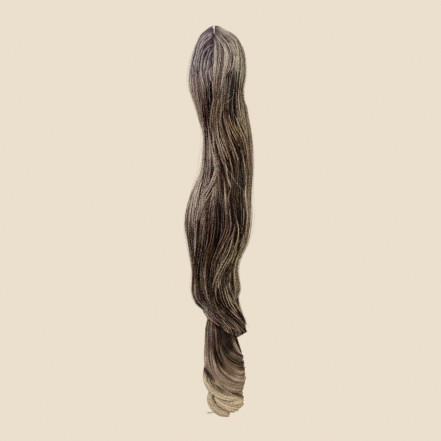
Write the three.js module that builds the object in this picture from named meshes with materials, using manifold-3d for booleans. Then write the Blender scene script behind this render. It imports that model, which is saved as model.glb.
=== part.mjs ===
import * as THREE from 'three';
import Module from 'manifold-3d';
import { mergeVertices } from 'three/addons/utils/BufferGeometryUtils.js';

// A hank of loose hair that is tied at its middle, folded over the tie and hung from it.
// Millimetres, +Z up. The origin is the top of the tie, at the foot of the parting.
// Seen from the front, the viewer looks along +Y and +X is to the right.

// Driving sizes
const GAP = 0.4;
const SLIT_WIDTH = 2.6;
const SLIT_FOOT = 0;
const CREST = 11;
const HUB_RADIUS = 2.4;
const TIE_RADIUS = 1.6;
const TIE_LENGTH = 14;
const TIE_SHOULDER = 1.2;
const GROOVE = 0.16;
const GROOVE_SHARPNESS = 2.2;
const CURL_RIDGES = 5;
const CURL_GROOVE = 0.09;
const CURL_TWIST = 1.9;

// Facets
const RING_STEP = 9.5;
const LOCK_POINTS = 8;
const RIDGE_SIDES = 7;
const CURL_RINGS = 12;
const TAIL_SIDES = 12;
const TAIL_RINGS = 14;
const TIE_SIDES = 12;
const MERGE_DISTANCE = 1e-4;

// Cross sections of the fall, from the crest down to the sweep above the ringlet.
// z is the height, x and y the middle, wide and deep the half sizes, hub the x where the locks meet,
// and lean how far the section drops for each millimetre to the right.
// The last five columns turn each front lock round the spine, in degrees from the front.
const FALL_COLUMNS = [
  'z', 'x', 'y', 'wide', 'deep', 'hub', 'lean', 'left', 'front_left', 'front_middle', 'front_right', 'right',
];
const FALL = [
  [CREST, 0.8, 0, 5.5, 4.5, 0, 0, -90, -40, 28, 54, 90],
  [6.5, 1.6, 0, 12.5, 9.5, 0, 0, -90, -42, 24, 54, 90],
  [0, 3.9, 0, 20.8, 16, 0, 0, -90, -42, 12, 52, 90],
  [-15.6, 5.9, 0, 30.7, 23, 0.5, 0, -88, -38, 6, 52, 92],
  [-42, 5.2, 0, 36.8, 27.5, 2, 0, -84, -36, 4, 56, 94],
  [-60, 4.2, 0, 37.4, 28.5, 3, 0, -82, -36, 6, 56, 94],
  [-91, 7.8, 1, 34.6, 27, 7.8, 0, -84, -46, 2, 54, 92],
  [-138, 17.2, 3, 32, 25, 17.2, 0, -92, -64, -20, 44, 88],
  [-179, 15.9, 2, 34.2, 26, 15.9, 0, -90, -52, 8, 52, 92],
  [-211, 8.6, -1, 39.5, 29, 8.6, 0, -84, -36, 26, 58, 94],
  [-242, 5.2, -3, 42.9, 31, 5.2, 0, -80, -30, 36, 62, 96],
  [-270, 3.6, -2, 39.7, 29.5, 3.6, 0, -82, -30, 32, 60, 94],
  [-299, 0, 1, 31.2, 26, 0, 0, -88, -44, 22, 52, 90],
  [-333, 3, 2, 30.9, 25, 3, 0, -92, -54, 16, 46, 86],
  [-358, 9.2, 1, 28.6, 24, 9.2, 0.14, -90, -50, 14, 48, 88],
  [-376, 14.6, 0, 27.2, 23, 14.5, 0.42, -80, -32, 30, 62, 96],
  [-382, 12.6, 0, 23.4, 20, 14.5, 0.46, -72, -20, 42, 70, 100],
];

// Turns of the ringlet: sections of each curl from its tucked upper rim to its proud lower rim.
// nod is how far the section drops for each millimetre to the front.
const CURL_COLUMNS = ['z', 'x', 'y', 'wide', 'deep', 'lean', 'nod'];
const CURL_AXIS = 14.5;
const CURLS = {
  upper_curl: [
    [-382.8, 7.2, 0, 18.5, 17, 0.46, 0],
    [-390, 9.2, 0, 21, 19, 0.46, 0.04],
    [-404, 12.4, 0, 24.4, 21.5, 0.46, 0.1],
    [-420, 13.7, 0, 26.7, 23, 0.48, 0.18],
    [-436, 13.8, 0, 27, 23.5, 0.5, 0.26],
    [-446, 13, 0, 25, 22, 0.5, 0.3],
  ],
  middle_curl: [
    [-446.8, 11.2, 0, 22.5, 19.5, 0.5, 0.3],
    [-452, 11.2, 0, 25, 21.5, 0.42, 0.3],
    [-459, 12, 0, 25.6, 22, 0.32, 0.31],
    [-466, 14, 0, 22.5, 20, 0.22, 0.32],
  ],
  lower_curl: [
    [-466.8, 16, 0, 19, 17, 0.22, 0.32],
    [-471, 17.4, 0, 21.4, 19, 0.18, 0.3],
    [-478, 18.2, 0, 20.6, 18.5, 0.12, 0.25],
    [-485, 20, 0, 15.5, 14.5, 0.06, 0.2],
    [-489, 21, 0, 7, 7, 0.04, 0.1],
  ],
};

// The tail: its middle line from the tucked root to the blunt tip, with the half sizes of its section.
const TAIL_COLUMNS = ['x', 'y', 'z', 'wide', 'deep'];
const TAIL = [
  [-3, -6, -464, 3.5, 8],
  [-4.4, -7, -474, 4.6, 10],
  [-0.5, -8, -483, 5, 11],
  [7.5, -9, -490, 4.8, 11],
  [15.5, -9, -494, 4, 9],
  [20.5, -8, -495.5, 2.6, 6],
];

const DARK_HAIR = { color: 0x5b4d44, roughness: 0.5, metalness: 0 };
const ASH_HAIR = { color: 0x8d7c6b, roughness: 0.5, metalness: 0 };
const BLOND_HAIR = { color: 0xc8b48f, roughness: 0.5, metalness: 0 };
const THREAD = { color: 0x2e2622, roughness: 0.8, metalness: 0 };

const wasm = await Module();
wasm.setup();

// Reads a table smoothly down its rows: the function that it returns gives a row of named values.
function rowsOf(columns, table, steps) {
  const curve = new THREE.CubicInterpolant(steps, table.flat(), columns.length);
  return (step) => {
    const values = curve.evaluate(step);
    return Object.fromEntries(columns.map((name, index) => [name, values[index]]));
  };
}

// One closed body through rings of points, each ring anticlockwise seen from above, top ring first.
// The two halves of a ring are split along opposite diagonals, so that facing walls match.
function loft(rings) {
  const sides = rings[0].length;
  const points = rings.flat();
  const faces = [];
  for (let ring = 0; ring + 1 < rings.length; ring += 1) {
    for (let side = 0; side < sides; side += 1) {
      const a = ring * sides + side;
      const b = ring * sides + ((side + 1) % sides);
      const c = b + sides;
      const d = a + sides;
      const leftHalf = side < sides / 2;
      faces.push(...(leftHalf ? [a, d, b, b, d, c] : [a, d, c, a, c, b]));
    }
  }
  const top = points.push(middleOf(rings[0])) - 1;
  const bottom = points.push(middleOf(rings.at(-1))) - 1;
  const last = (rings.length - 1) * sides;
  for (let side = 0; side < sides; side += 1) {
    const next = (side + 1) % sides;
    faces.push(top, side, next);
    faces.push(bottom, last + next, last + side);
  }
  const geometry = new THREE.BufferGeometry().setFromPoints(points);
  geometry.setIndex(faces);
  return geometry;
}

function middleOf(ring) {
  const sum = ring.reduce((total, point) => total.add(point), new THREE.Vector3());
  return sum.divideScalar(ring.length);
}

// A point of a section, at an angle from the front and at a share of the way out.
function pointOn(section, angle, reach, tiltAxis) {
  const turn = THREE.MathUtils.degToRad(angle);
  const x = section.x + section.wide * reach * Math.sin(turn);
  const y = section.y - section.deep * reach * Math.cos(turn);
  const z = section.z - (section.lean ?? 0) * (x - tiltAxis) + (section.nod ?? 0) * y;
  return new THREE.Vector3(x, y, z);
}

// The fall: locks round the spine, the back ones mirrored from the front ones.
const LOCKS = [
  { name: 'left_lock', turn: (row) => row.left },
  { name: 'front_left_lock', turn: (row) => row.front_left },
  { name: 'front_middle_lock', turn: (row) => row.front_middle, afterParting: true },
  { name: 'front_right_lock', turn: (row) => row.front_right },
  { name: 'right_lock', turn: (row) => row.right },
  { name: 'back_right_lock', turn: (row) => 180 - row.front_right },
  { name: 'back_middle_lock', turn: (row) => 180 - row.front_middle },
  { name: 'back_left_lock', turn: (row) => 180 - row.front_left, afterParting: true },
];
const fallRow = rowsOf(FALL_COLUMNS, FALL, FALL.map((row) => CREST - row[0]));
const FALL_DEPTH = CREST - FALL.at(-1)[0];

// The angle of a lock from the front, counted on past a full turn.
function lockAngle(row, index) {
  const laps = Math.floor(index / LOCKS.length);
  return LOCKS.at(index % LOCKS.length).turn(row) + laps * 360;
}

// The line between a lock and the one before it: its angle from the front and the half gap there.
function seam(row, index) {
  const angle = (lockAngle(row, index - 1) + lockAngle(row, index)) / 2;
  const lift = THREE.MathUtils.clamp((row.z - SLIT_FOOT) / (CREST - SLIT_FOOT), 0, 1);
  const parted = LOCKS[index % LOCKS.length].afterParting ? lift : 0;
  return { angle, half: THREE.MathUtils.lerp(GAP, SLIT_WIDTH, parted) / 2 };
}

// One ring of a lock: its inner left point, its crowned outer face, its inner right point.
function lockRing(depth, index) {
  const row = fallRow(depth);
  const left = seam(row, index);
  const right = seam(row, index + 1);
  const ring = [];
  for (let step = 0; step < LOCK_POINTS; step += 1) {
    const across = step / (LOCK_POINTS - 1);
    const angle = THREE.MathUtils.lerp(left.angle, right.angle, across);
    const crown = 1 - GROOVE * Math.abs(2 * across - 1) ** GROOVE_SHARPNESS;
    ring.push(pointOn(row, angle, crown, CURL_AXIS));
  }
  const innerLeft = hubPoint(row, left.angle);
  const innerRight = hubPoint(row, right.angle);
  standOff(innerLeft, ring[0], left.half);
  standOff(innerRight, ring.at(-1), -right.half);
  return [innerLeft, ...ring, innerRight];
}

// The point of the hollow middle that a seam starts from.
function hubPoint(row, angle) {
  const hub = { ...row, x: row.hub, wide: HUB_RADIUS, deep: HUB_RADIUS };
  return pointOn(hub, angle, 1, CURL_AXIS);
}

// Moves both ends of a seam sideways, to leave half the gap.
function standOff(inner, outer, half) {
  const away = new THREE.Vector3(outer.x - inner.x, outer.y - inner.y, 0).normalize();
  const sideways = new THREE.Vector3(-away.y, away.x, 0).multiplyScalar(half);
  inner.add(sideways);
  outer.add(sideways);
}

function lockGeometry(index) {
  const count = Math.ceil(FALL_DEPTH / RING_STEP);
  const rings = Array.from({ length: count + 1 }, (_, ring) => lockRing((FALL_DEPTH * ring) / count, index));
  return loft(rings);
}

// A turn of the ringlet, grown by pad on all sides where it is used to cut its neighbour.
// Its ridges are the locks that wind round it, with a groove between each two.
function curlGeometry(table, pad = 0) {
  const height = table[0][0] - table.at(-1)[0];
  const sides = CURL_RIDGES * RIDGE_SIDES;
  const curlRow = rowsOf(CURL_COLUMNS, table, table.map((row) => table[0][0] - row[0]));
  const rings = [];
  for (let ring = 0; ring < CURL_RINGS; ring += 1) {
    const share = ring / (CURL_RINGS - 1);
    const row = curlRow(share * height);
    row.z += THREE.MathUtils.lerp(pad, -pad, share);
    row.wide += pad;
    row.deep += pad;
    rings.push(Array.from({ length: sides }, (_, side) => {
      const crown = Math.abs(Math.cos((side * Math.PI) / RIDGE_SIDES));
      const angle = (side * 360) / sides + CURL_TWIST * share * height;
      return pointOn(row, angle, 1 - CURL_GROOVE * (1 - crown), CURL_AXIS);
    }));
  }
  return loft(rings);
}

// The tail: rings square to its middle line.
function tailGeometry() {
  const last = TAIL.length - 1;
  const tailRow = rowsOf(TAIL_COLUMNS, TAIL, TAIL.map((_, index) => index));
  const path = new THREE.CatmullRomCurve3(TAIL.map(([x, y, z]) => new THREE.Vector3(x, y, z)));
  const rings = [];
  for (let ring = 0; ring < TAIL_RINGS; ring += 1) {
    const along = ring / (TAIL_RINGS - 1);
    const row = tailRow(along * last);
    const heading = path.getTangent(along);
    const across = new THREE.Vector3(0, 1, 0).cross(heading).normalize();
    rings.push(Array.from({ length: TAIL_SIDES }, (_, side) => {
      const turn = (side * 2 * Math.PI) / TAIL_SIDES;
      const point = new THREE.Vector3(row.x, row.y - row.deep * Math.cos(turn), row.z);
      return point.addScaledVector(across, -row.wide * Math.sin(turn));
    }));
  }
  return loft(rings);
}

function tieGeometry() {
  const profile = [
    new THREE.Vector2(0, -TIE_LENGTH),
    new THREE.Vector2(TIE_RADIUS - TIE_SHOULDER / 2, -TIE_LENGTH),
    new THREE.Vector2(TIE_RADIUS, TIE_SHOULDER - TIE_LENGTH),
    new THREE.Vector2(TIE_RADIUS, -TIE_SHOULDER),
    new THREE.Vector2(TIE_RADIUS - TIE_SHOULDER / 2, 0),
    new THREE.Vector2(0, 0),
  ];
  return new THREE.LatheGeometry(profile, TIE_SIDES).rotateX(Math.PI / 2);
}

function solidOf(geometry) {
  const bare = geometry.clone();
  bare.deleteAttribute('normal');
  bare.deleteAttribute('uv');
  const merged = mergeVertices(bare, MERGE_DISTANCE);
  const mesh = new wasm.Mesh({
    numProp: 3,
    vertProperties: new Float32Array(merged.attributes.position.array),
    triVerts: new Uint32Array(merged.index.array),
  });
  return new wasm.Manifold(mesh);
}

function geometryOf(solid) {
  const mesh = solid.getMesh();
  const geometry = new THREE.BufferGeometry();
  geometry.setAttribute('position', new THREE.BufferAttribute(mesh.vertProperties, 3));
  geometry.setIndex(new THREE.BufferAttribute(mesh.triVerts, 1));
  return geometry;
}

// The tail lies against the last two turns, so they are cut out of it with the usual gap.
function seatedTail() {
  let tail = solidOf(tailGeometry());
  for (const name of ['middle_curl', 'lower_curl']) {
    tail = tail.subtract(solidOf(curlGeometry(CURLS[name], GAP)));
  }
  return geometryOf(tail);
}

function piece(name, geometry, finish) {
  geometry.computeVertexNormals();
  const mesh = new THREE.Mesh(geometry, new THREE.MeshStandardMaterial(finish));
  mesh.name = name;
  return mesh;
}

const bundle = new THREE.Group();
LOCKS.forEach(({ name }, index) => bundle.add(piece(name, lockGeometry(index), DARK_HAIR)));
bundle.add(piece('upper_curl', curlGeometry(CURLS.upper_curl), ASH_HAIR));
bundle.add(piece('middle_curl', curlGeometry(CURLS.middle_curl), BLOND_HAIR));
bundle.add(piece('lower_curl', curlGeometry(CURLS.lower_curl), BLOND_HAIR));
bundle.add(piece('curl_tail', seatedTail(), BLOND_HAIR));
bundle.add(piece('tie', tieGeometry(), THREAD));

export default bundle;
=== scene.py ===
"""Dresses a hank of loose wavy hair strand by strand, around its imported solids, and sets a plain stage."""
from types import SimpleNamespace

import bmesh
import bpy
import numpy as np
from bpy.props import FloatProperty, FloatVectorProperty, IntProperty, PointerProperty
from mathutils import Matrix, Vector


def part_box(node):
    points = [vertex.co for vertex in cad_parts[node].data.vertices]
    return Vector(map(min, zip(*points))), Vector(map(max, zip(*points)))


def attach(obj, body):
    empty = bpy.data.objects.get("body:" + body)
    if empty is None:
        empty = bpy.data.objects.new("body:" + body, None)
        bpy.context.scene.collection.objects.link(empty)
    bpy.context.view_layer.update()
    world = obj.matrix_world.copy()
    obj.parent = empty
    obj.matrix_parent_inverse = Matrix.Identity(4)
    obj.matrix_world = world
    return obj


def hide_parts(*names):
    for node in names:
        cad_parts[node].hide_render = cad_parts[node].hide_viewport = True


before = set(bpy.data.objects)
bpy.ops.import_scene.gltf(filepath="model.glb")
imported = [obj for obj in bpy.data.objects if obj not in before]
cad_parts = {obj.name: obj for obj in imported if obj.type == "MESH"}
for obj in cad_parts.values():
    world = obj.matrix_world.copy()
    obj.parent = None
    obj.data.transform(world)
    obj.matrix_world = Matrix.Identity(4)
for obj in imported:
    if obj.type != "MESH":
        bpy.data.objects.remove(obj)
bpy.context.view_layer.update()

bl_info = {
    "name": "Hank of wavy hair",
    "version": (1, 0, 0),
    "blender": (4, 5, 0),
    "location": "3D View > Sidebar > Hair",
    "description": "Builds the strands, flyaways and tie of a hank of loose wavy hair, and a plain stage",
    "category": "Object",
}

# Lengths in the tables are millimetres in the part's own frame: +Z up, +X to the right, the viewer at -Y.
MM = 0.001

# Numbers that the tail and the flyaways are drawn from.
TAIL_SEED = 71
STRAY_SEED = 91

# The fall and the ringlet, section by section, as in the part's source: the top of the fall, how deep and
# how sharp the grooves between the locks are, the middle of the ringlet, and the sections.
CREST = 11.0
GROOVE = 0.16
GROOVE_SHARPNESS = 2.2
CURL_AXIS = 14.5
FALL_COLUMNS = (
    "z", "x", "y", "wide", "deep", "lean", "left", "front_left", "front_middle", "front_right", "right",
)
FALL = (
    (CREST, 0.8, 0, 5.5, 4.5, 0, -90, -40, 28, 54, 90),
    (6.5, 1.6, 0, 12.5, 9.5, 0, -90, -42, 24, 54, 90),
    (0, 3.9, 0, 20.8, 16, 0, -90, -42, 12, 52, 90),
    (-15.6, 5.9, 0, 30.7, 23, 0, -88, -38, 6, 52, 92),
    (-42, 5.2, 0, 36.8, 27.5, 0, -84, -36, 4, 56, 94),
    (-60, 4.2, 0, 37.4, 28.5, 0, -82, -36, 6, 56, 94),
    (-91, 7.8, 1, 34.6, 27, 0, -84, -46, 2, 54, 92),
    (-138, 17.2, 3, 32, 25, 0, -92, -64, -20, 44, 88),
    (-179, 15.9, 2, 34.2, 26, 0, -90, -52, 8, 52, 92),
    (-211, 8.6, -1, 39.5, 29, 0, -84, -36, 26, 58, 94),
    (-242, 5.2, -3, 42.9, 31, 0, -80, -30, 36, 62, 96),
    (-270, 3.6, -2, 39.7, 29.5, 0, -82, -30, 32, 60, 94),
    (-299, 0, 1, 31.2, 26, 0, -88, -44, 22, 52, 90),
    (-333, 3, 2, 30.9, 25, 0, -92, -54, 16, 46, 86),
    (-358, 9.2, 1, 28.6, 24, 0.14, -90, -50, 14, 48, 88),
    (-376, 14.6, 0, 27.2, 23, 0.42, -80, -32, 30, 62, 96),
    (-382, 12.6, 0, 23.4, 20, 0.46, -72, -20, 42, 70, 100),
)
CURL_COLUMNS = ("z", "x", "y", "wide", "deep", "lean", "nod")
CURLS = {
    "upper_curl": (
        (-382.8, 7.2, 0, 18.5, 17, 0.46, 0),
        (-390, 9.2, 0, 21, 19, 0.46, 0.04),
        (-404, 12.4, 0, 24.4, 21.5, 0.46, 0.1),
        (-420, 13.7, 0, 26.7, 23, 0.48, 0.18),
        (-436, 13.8, 0, 27, 23.5, 0.5, 0.26),
        (-446, 13, 0, 25, 22, 0.5, 0.3),
    ),
    "middle_curl": (
        (-446.8, 11.2, 0, 22.5, 19.5, 0.5, 0.3),
        (-452, 11.2, 0, 25, 21.5, 0.42, 0.3),
        (-459, 12, 0, 25.6, 22, 0.32, 0.31),
        (-466, 14, 0, 22.5, 20, 0.22, 0.32),
    ),
    "lower_curl": (
        (-466.8, 16, 0, 19, 17, 0.22, 0.32),
        (-471, 17.4, 0, 21.4, 19, 0.18, 0.3),
        (-478, 18.2, 0, 20.6, 18.5, 0.12, 0.25),
        (-485, 20, 0, 15.5, 14.5, 0.06, 0.2),
        (-489, 21, 0, 7, 7, 0.04, 0.1),
    ),
}
TAIL_COLUMNS = ("x", "y", "z", "wide", "deep")
TAIL = (
    (-3, -6, -464, 3.5, 8),
    (-4.4, -7, -474, 4.6, 10),
    (-0.5, -8, -483, 5, 11),
    (7.5, -9, -490, 4.8, 11),
    (15.5, -9, -492.8, 3.6, 9),
    (20.5, -8, -494, 2.6, 6),
)

# A loose wisp that stands out from under the tail, point by point, and how far its hairs spread.
WISP_COLUMNS = ("x", "y", "z", "spread")
WISP = ((4, -10, -487, 0.4), (0, -12, -490, 0.5), (-4, -12, -491.5, 0.6), (-9, -12, -491, 0.8))

# Locks round the spine, in order from the left edge, each with groups of wisps. first and last are the
# heights on the parting where the hair at its two seams starts, comb_first and comb_last how far that hair
# takes to lie along the lock, pale how much lighter the lock is, crown how much of its contrast shows at
# the top, tone its tint, seed the number its wisps are drawn from, and strays its share of the flyaways.
LOCK_COLUMNS = (
    "name", "groups", "wisps", "first", "last", "comb_first", "comb_last", "pale", "crown", "tone", "seed",
    "strays",
)
LOCKS = (
    ("left_lock", 6, 18, 11, -1, 12, 46, 0.2, 0.8, "cool", 1700, 4),
    ("front_left_lock", 7, 18, -1, -24, 46, 56, 0.06, 0.9, "cool", 2701, 2),
    ("front_middle_lock", 7, 18, -6, 6, 30, 30, 0.04, 0.4, "plain", 2102, 2),
    ("front_right_lock", 6, 18, 6, 10, 30, 20, 0.08, 0.4, "warm", 2103, 2),
    ("right_lock", 6, 18, 10, 11, 20, 12, 0.3, 0.4, "warm", 4504, 4),
    ("back_right_lock", 5, 14, 10, 6, 18, 24, 0.14, 0.6, "warm", 36, 1),
    ("back_middle_lock", 5, 14, 6, -6, 24, 24, 0.22, 0.6, "plain", 37, 1),
    ("back_left_lock", 5, 14, -24, -1, 38, 28, 0.14, 0.6, "cool", 38, 1),
)

# Places in that list: the locks at the front, at the back, at the two edges, and before the parting.
FRONT_LOCKS = range(5)
BACK_LOCKS = range(5, 8)
LEFT_EDGE, RIGHT_EDGE = 0, 4
BEFORE_PARTING = (0, 1, 5, 6)

# Wisps that come out from under the next lock and fan across their own: the groups they come in, the height
# where they come out, how far they take, the places across the lock where they start and where the first
# and the last of them end, and how light they are.
FAN_COLUMNS = ("lock", "groups", "z", "span", "start", "first", "last", "light")
FANS = (
    (1, 8, -170, 80, 1.03, 0.05, 0.95, 0.6),
)

# Wisps that lie over the locks and cross them, light and dark by turns: the lock they belong to, how many
# there are, how far apart, how light the light ones are, and the path they follow from the front, in pairs
# of x and z.
SWEEP_COLUMNS = ("lock", "wisps", "spread", "light", "path")
SWEEPS = (
    (1, 5, 1.7, 0.8, ((-9, 0), (-20, -13), (-25, -32), (-27, -46), (-28, -64))),
    (1, 5, 1.6, 0.85, ((-2, -12), (-12, -20), (-18, -30), (-20, -52), (-17, -70))),
    (1, 5, 1.4, 0.8, ((-12, -36), (-13, -52), (-11, -66), (-7, -82))),
    (2, 1, 0.7, 0.95, ((3, -13), (1, -24), (0, -40), (-2, -51))),
    (2, 3, 1.5, 0.7, ((-5, -40), (-4, -55), (0, -70))),
    (3, 5, 1.9, 0.9, ((8, 0), (21, -13), (27, -26), (29, -38))),
    (2, 7, 1.8, 0.85, ((8, -6), (14, -13), (19, -23), (21, -32), (19, -46), (14, -55), (9, -68))),
    (4, 4, 1.6, 0.85, ((19, 0), (31, -12), (38, -25), (41, -41))),
    (2, 5, 1.7, 0.62, ((14, -62), (5, -80), (-1, -101), (-3, -122), (0, -145))),
    (2, 5, 1.6, 0.66, ((18, -72), (10, -92), (5, -112), (6, -127), (10, -148))),
    (2, 4, 1.4, 0.7, ((15, -88), (14, -109), (18, -124), (22, -138), (31, -160))),
    (3, 5, 1.7, 0.72, ((20, -94), (21, -110), (26, -124), (34, -138), (38, -156))),
    (4, 4, 1.7, 0.7, ((28, -88), (31, -107), (35, -120), (42, -138), (44, -160))),
    (2, 7, 2.0, 0.66, ((-1, -130), (4, -151), (9, -166), (18, -186))),
    (2, 7, 2.0, 0.64, ((11, -125), (17, -144), (23, -161), (31, -184))),
    (1, 7, 1.7, 0.8, ((4, -160), (2, -176), (-2, -192), (-10, -208), (-20, -228))),
    (0, 3, 1.5, 0.95, ((-25, -218), (-27, -236), (-29, -254))),
    (1, 5, 1.6, 0.7, ((-9, -208), (-13, -221), (-18, -235), (-20, -248), (-19, -264))),
    (1, 4, 1.6, 0.55, ((-7, -228), (-9, -244), (-11, -259), (-13, -276), (-14, -300))),
    (2, 7, 1.8, 0.75, ((18, -212), (21, -233), (21, -247), (18, -259), (13, -270), (5, -289), (-2, -309))),
    (3, 5, 1.6, 0.82, ((27, -236), (29, -255), (27, -268), (22, -285), (12, -303), (4, -320), (2, -334),
                       (5, -348), (12, -365))),
    (3, 6, 1.8, 0.75, ((32, -230), (35, -247), (36, -263), (31, -281), (26, -296), (18, -314), (15, -330))),
    (3, 5, 1.7, 0.8, ((14, -300), (13, -318), (15, -336), (20, -350), (27, -361), (36, -371))),
    (4, 4, 1.7, 0.8, ((21, -312), (20, -326), (24, -341), (30, -350), (38, -356))),
    (2, 5, 1.6, 0.75, ((-4, -322), (-3, -343), (1, -358), (9, -369), (20, -380))),
    (1, 5, 1.6, 0.85, ((-15, -340), (-11, -356), (-3, -367), (6, -375), (18, -385))),
)

# How far the hair at the seam of the front middle and front right locks drifts to the right: pairs of a
# height and a distance. It drifts less and less away from the seam.
DRIFT_LOCKS = (2, 3)
DRIFT_POWER = 1.5
DRIFT = ((-30, 0), (-70, -6), (-92, -10), (-118, -8), (-150, 8), (-178, 6), (-215, 0))

# Dents in the outline: the angle and height of each, its half sizes in degrees and millimetres, its depth.
DENT_COLUMNS = ("angle", "z", "wide", "tall", "depth")
DENTS = (
    (95, -77, 60, 20, 2.8),
    (95, -346, 60, 14, 4.5),
    (-90, -112, 45, 40, 2.0),
    (-90, -292, 45, 40, 2.0),
    (-90, -356, 50, 34, -2.2),
)

# Dark gaps where the front hair parts: the middle of each, its half sizes, and how far it leans to the
# right for each millimetre up.
GAP_COLUMNS = ("x", "z", "wide", "tall", "tilt")
GAPS = (
    (-3.5, -17, 2.2, 8, 0.2),
    (-12, -29, 1.6, 8, 0.6),
    (-5, -37, 1.2, 12, 0.0),
    (-6.5, -95, 2.8, 34, 0.03),
    (28, -70, 2.4, 22, 0.05),
    (28, -144, 2.0, 12, -0.5),
    (14, -187, 1.3, 24, -0.65),
    (8, -248, 3.6, 26, 0.05),
    (22, -229, 1.5, 28, -0.12),
    (-20.5, -296, 2.6, 26, -0.1),
    (23, -284, 1.5, 18, 0.5),
    (19, -359, 1.4, 10, -0.6),
    (3, -352, 1.8, 16, -0.5),
    (-12, -346, 1.4, 22, -0.3),
)

# Patches of painted highlight and painted shade on the front hair, together with some of its own lighter and
# darker tone: the middle of each, its half sizes, how far it leans to the right for each millimetre up, and
# how much lighter it is: a share of its light, or less than 0 to take away.
PATCH_COLUMNS = ("x", "z", "wide", "tall", "tilt", "gain")
PAINTED_LIGHT_PATCHES = (
    (-8, -26, 8, 18, 0.3, -0.15),
    (-8, -96, 7, 42, 0.03, -0.25),
    (-18, -62, 9, 44, 0.1, 0.15),
    (-35, -60, 8, 60, 0.0, 0.4),
    (10, -46, 13, 40, 0.0, 1.3),
    (28, -34, 15, 36, -0.2, 1.4),
    (28, -62, 9, 26, 0.0, -0.5),
    (34, -125, 12, 32, 0.0, 0.6),
    (24, -126, 9, 20, 0.0, 0.4),
    (8, -108, 6, 16, 0.0, -0.2),
    (-14, -152, 9, 46, 0.05, 1.3),
    (4, -152, 9, 32, -0.1, 1.2),
    (-5, -176, 5, 18, 0.3, -0.25),
    (-14, -200, 15, 62, 0.18, 0.5),
    (36, -228, 12, 40, 0.0, 0.5),
    (32, -218, 6, 28, 0.0, 0.6),
    (-22, -282, 14, 50, 0.0, -0.32),
    (-20, -296, 5, 32, -0.1, -0.25),
    (-31, -290, 8, 60, 0.0, -0.25),
    (-7, -254, 7, 46, 0.0, -0.2),
    (8, -254, 13, 50, 0.0, -0.52),
    (-20, -335, 7, 32, -0.25, -0.32),
    (34, -288, 14, 44, 0.0, 1.0),
    (27, -304, 9, 14, 0.4, 0.5),
    (10, -352, 14, 38, 0.0, -0.58),
    (6, -356, 20, 13, -0.35, -0.4),
    (-20, -354, 8, 12, -0.5, -0.35),
    (19, -372, 9, 9, 0.0, -0.45),
    (-5, -374, 10, 22, -0.5, 1.6),
    (0, -391, 6, 9, 0.0, -0.8),
    (-9, -404, 7, 30, 0.0, 0.5),
    (34, -438, 16, 24, 0.0, 0.3),
    (4, -416, 8, 24, -0.5, -0.4),
    (19, -406, 7, 10, 0.0, -0.3),
    (10, -402, 13, 18, 0.0, -0.1),
    (22, -440, 9, 10, 0.0, -0.15),
    (9, -457, 9, 7, 0.0, -0.15),
    (-8, -457, 7, 9, 0.0, 0.3),
    (-7, -441, 4.5, 12, -0.77, -1.1),
)

# Strands of the curls: groups in each, wisps in a group, how soon they level out, how much they rise to both
# sides, how far the lower rim hangs at the front, how much their light differs between wisps and between
# groups, a slot name, and the number they are drawn from.
CURL_HAIR_COLUMNS = ("groups", "wisps", "bend", "bow", "hang", "spread", "band", "slot", "seed")
CURL_HAIR = {
    "upper_curl": (14, 14, 4.0, 0.0, 7.5, 0.72, 1.25, "ash_hair", 2220),
    "middle_curl": (10, 14, 3.0, 0.0, 0.0, 0.1, 0.9, "blond_hair", 1221),
    "lower_curl": (8, 14, 1.3, 4.0, 0.0, 0.06, 0.7, "blond_hair", 3422),
}

# How strands wind down a curl, by their place in it: the angle of the root from the front, the turn from
# root to end, how much of that turn is left to the end, how far down they level out, how much lighter they
# are, and how much of their light shows at the root under the painted shade there.
FLOW_COLUMNS = ("place", "root", "sweep", "lag", "end", "pale", "shade")
FLOWS = {
    "upper_curl": (
        (0, -200, 230, 3, 1.0, 0.1, 0.3),
        (0.08, -150, 230, 3, 1.0, 0.1, 0.6),
        (0.2, -75, 230, 3, 1.0, 0.12, 1.0),
        (0.42, -42, 230, 3, 1.0, 0.15, 0.6),
        (0.58, -26, 230, 3, 0.74, 0.16, 0.3),
        (0.72, -5, 230, 3, 0.53, 0.25, 0.3),
        (0.8, 12, 230, 3, 0.42, 0.3, 0.3),
        (0.9, 60, 200, 2.5, 0.36, 0.12, 0.3),
        (0.95, 110, 215, 2.8, 0.7, -0.05, 0.3),
        (1, 160, 230, 3, 1.0, 0.1, 0.3),
    ),
    "middle_curl": (
        (0, -200, 200, 1.6, 0.95, 0.1, 0.3),
        (0.25, -100, 200, 2, 1.0, 0.15, 0.6),
        (0.45, -75, 200, 2, 1.0, 0.15, 0.3),
        (0.55, -20, 200, 1.5, 0.85, 0.05, 0.75),
        (0.7, 30, 200, 1.3, 0.9, 0.05, 0.9),
        (1, 160, 200, 1.6, 0.95, 0.1, 0.5),
    ),
    "lower_curl": ((0, -200, 230, 1, 1, 0.1, 0.3), (1, 160, 230, 1, 1, 0.1, 0.3)),
}

# Single hairs that cross the front, from one point to another, seen from the front, and how far they sag.
STRAY_COLUMNS = ("x_from", "z_from", "x_to", "z_to", "sag")
STRAYS = (
    (9, -94, 24, -83, 2),
    (16, -174, 42, -210, 3),
    (-24, -276, -5, -252, -2),
    (19, -278, 43, -256, 3),
    (1, -320, 26, -277, 5),
    (0, -200, 20, -236, 4),
    (-22, -100, -6, -128, 3),
)


def named(columns, values):
    """A row of a table by the names of its columns."""
    return SimpleNamespace(**dict(zip(columns, values)))


def rows_of(columns, table):
    """The rows of a table by the names of their columns."""
    return [named(columns, values) for values in table]


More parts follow.
